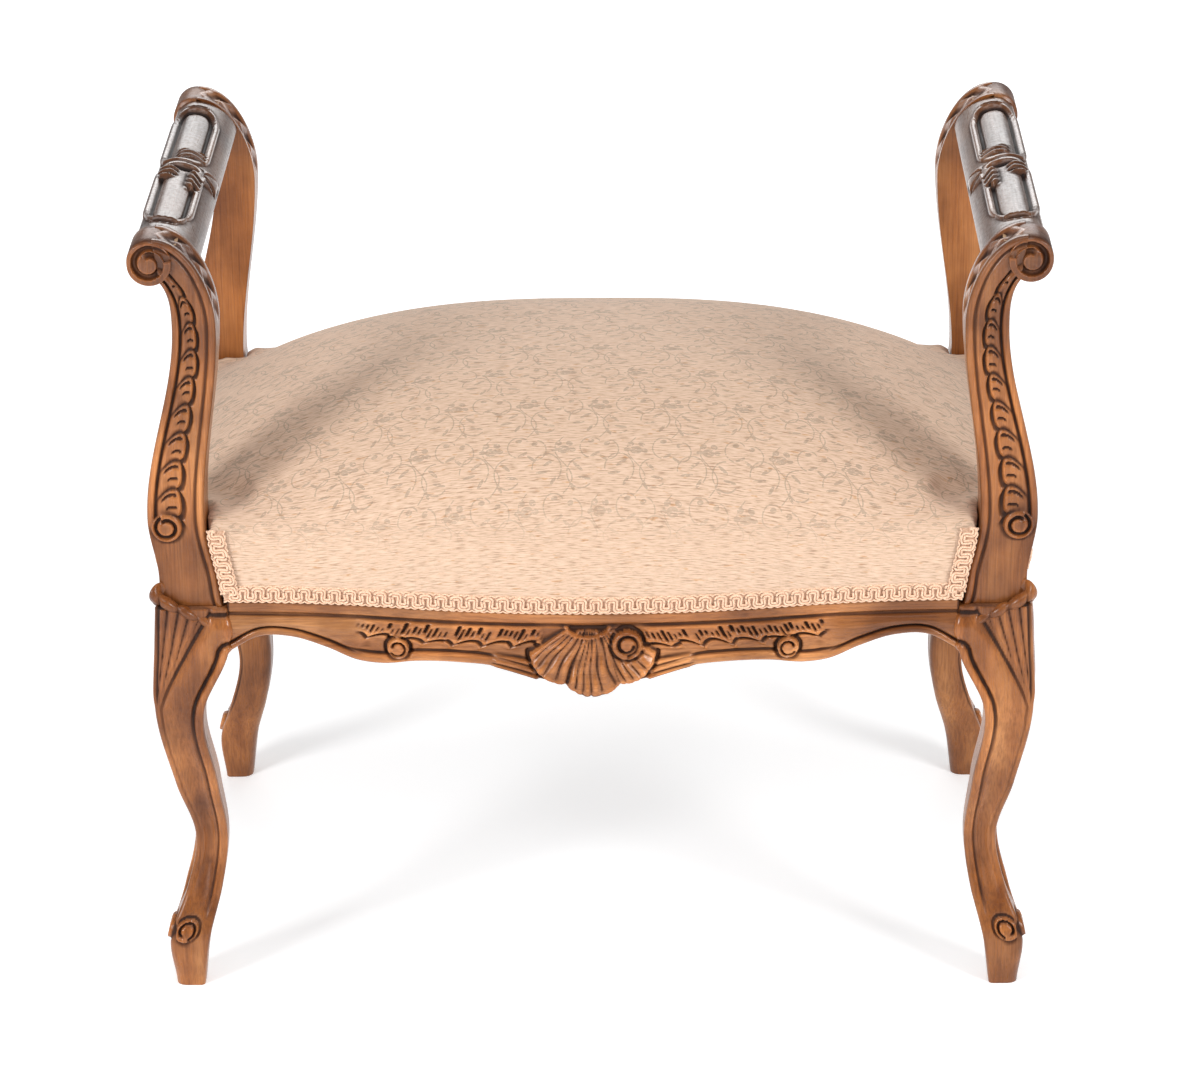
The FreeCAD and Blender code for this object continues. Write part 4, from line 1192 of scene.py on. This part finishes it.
world = bpy.data.worlds.new("surround")
world.use_nodes = True
sky, sky_links = world.node_tree.nodes, world.node_tree.links
ambient = sky["Background"]
ambient.inputs["Color"].default_value = (1, 1, 1, 1)
ambient.inputs["Strength"].default_value = 0.34
backdrop = sky.new("ShaderNodeBackground")
backdrop.inputs["Color"].default_value = (1, 1, 1, 1)
seen = sky.new("ShaderNodeLightPath")
choice = sky.new("ShaderNodeMixShader")
sky_links.new(seen.outputs["Is Camera Ray"], choice.inputs["Fac"])
sky_links.new(ambient.outputs["Background"], choice.inputs[1])
sky_links.new(backdrop.outputs["Background"], choice.inputs[2])
sky_links.new(choice.outputs["Shader"], sky["World Output"].inputs["Surface"])
bpy.context.scene.world = world


def soft_box(name, place, target, width, height, watts):
    lamp = bpy.data.lights.new(name, "AREA")
    lamp.shape = "RECTANGLE"
    lamp.size = width
    lamp.size_y = height
    lamp.energy = watts
    box = bpy.data.objects.new(name, lamp)
    box.location = place
    box.rotation_euler = (Vector(target) - Vector(place)).to_track_quat("-Z", "Y").to_euler()
    box.visible_camera = False
    bpy.context.collection.objects.link(box)


soft_box("left_box", (-2.1, -2.0, 1.7), (0, 0, 0.4), width=0.8, height=1.1, watts=52)
soft_box("right_box", (2.1, -2.0, 1.9), (0, 0, 0.4), width=0.8, height=1.1, watts=46)
soft_box("overhead_box", (0, -0.5, 2.8), (0, 0, 0.4), width=1.2, height=1.2, watts=11)
soft_box("back_box", (0, 3.6, 2.2), (0, 0, 0.5), width=3.2, height=1.2, watts=44)

photo_width, focal_in_pixels = 1183, 4538.316
camera_data = bpy.data.cameras.new("camera")
camera_data.sensor_width = 36.0
camera_data.lens = focal_in_pixels / photo_width * 36.0
camera = bpy.data.objects.new("camera", camera_data)
camera_place = (0.0558, -3.7425, 1.8654)
yaw, pitch, tilt = -0.016, 0.39, -0.010
forward = Vector((math.sin(yaw) * math.cos(pitch), math.cos(yaw) * math.cos(pitch), -math.sin(pitch)))
level = Vector((math.cos(yaw), -math.sin(yaw), 0))
above = level.cross(forward)
right = level * math.cos(tilt) + above * math.sin(tilt)
over = above * math.cos(tilt) - level * math.sin(tilt)
turned = Matrix((right, over, -forward)).transposed().to_4x4()
camera.matrix_world = Matrix.Translation(camera_place) @ turned
bpy.context.collection.objects.link(camera)
bpy.context.scene.camera = camera
bpy.context.scene.view_settings.view_transform = "Standard"
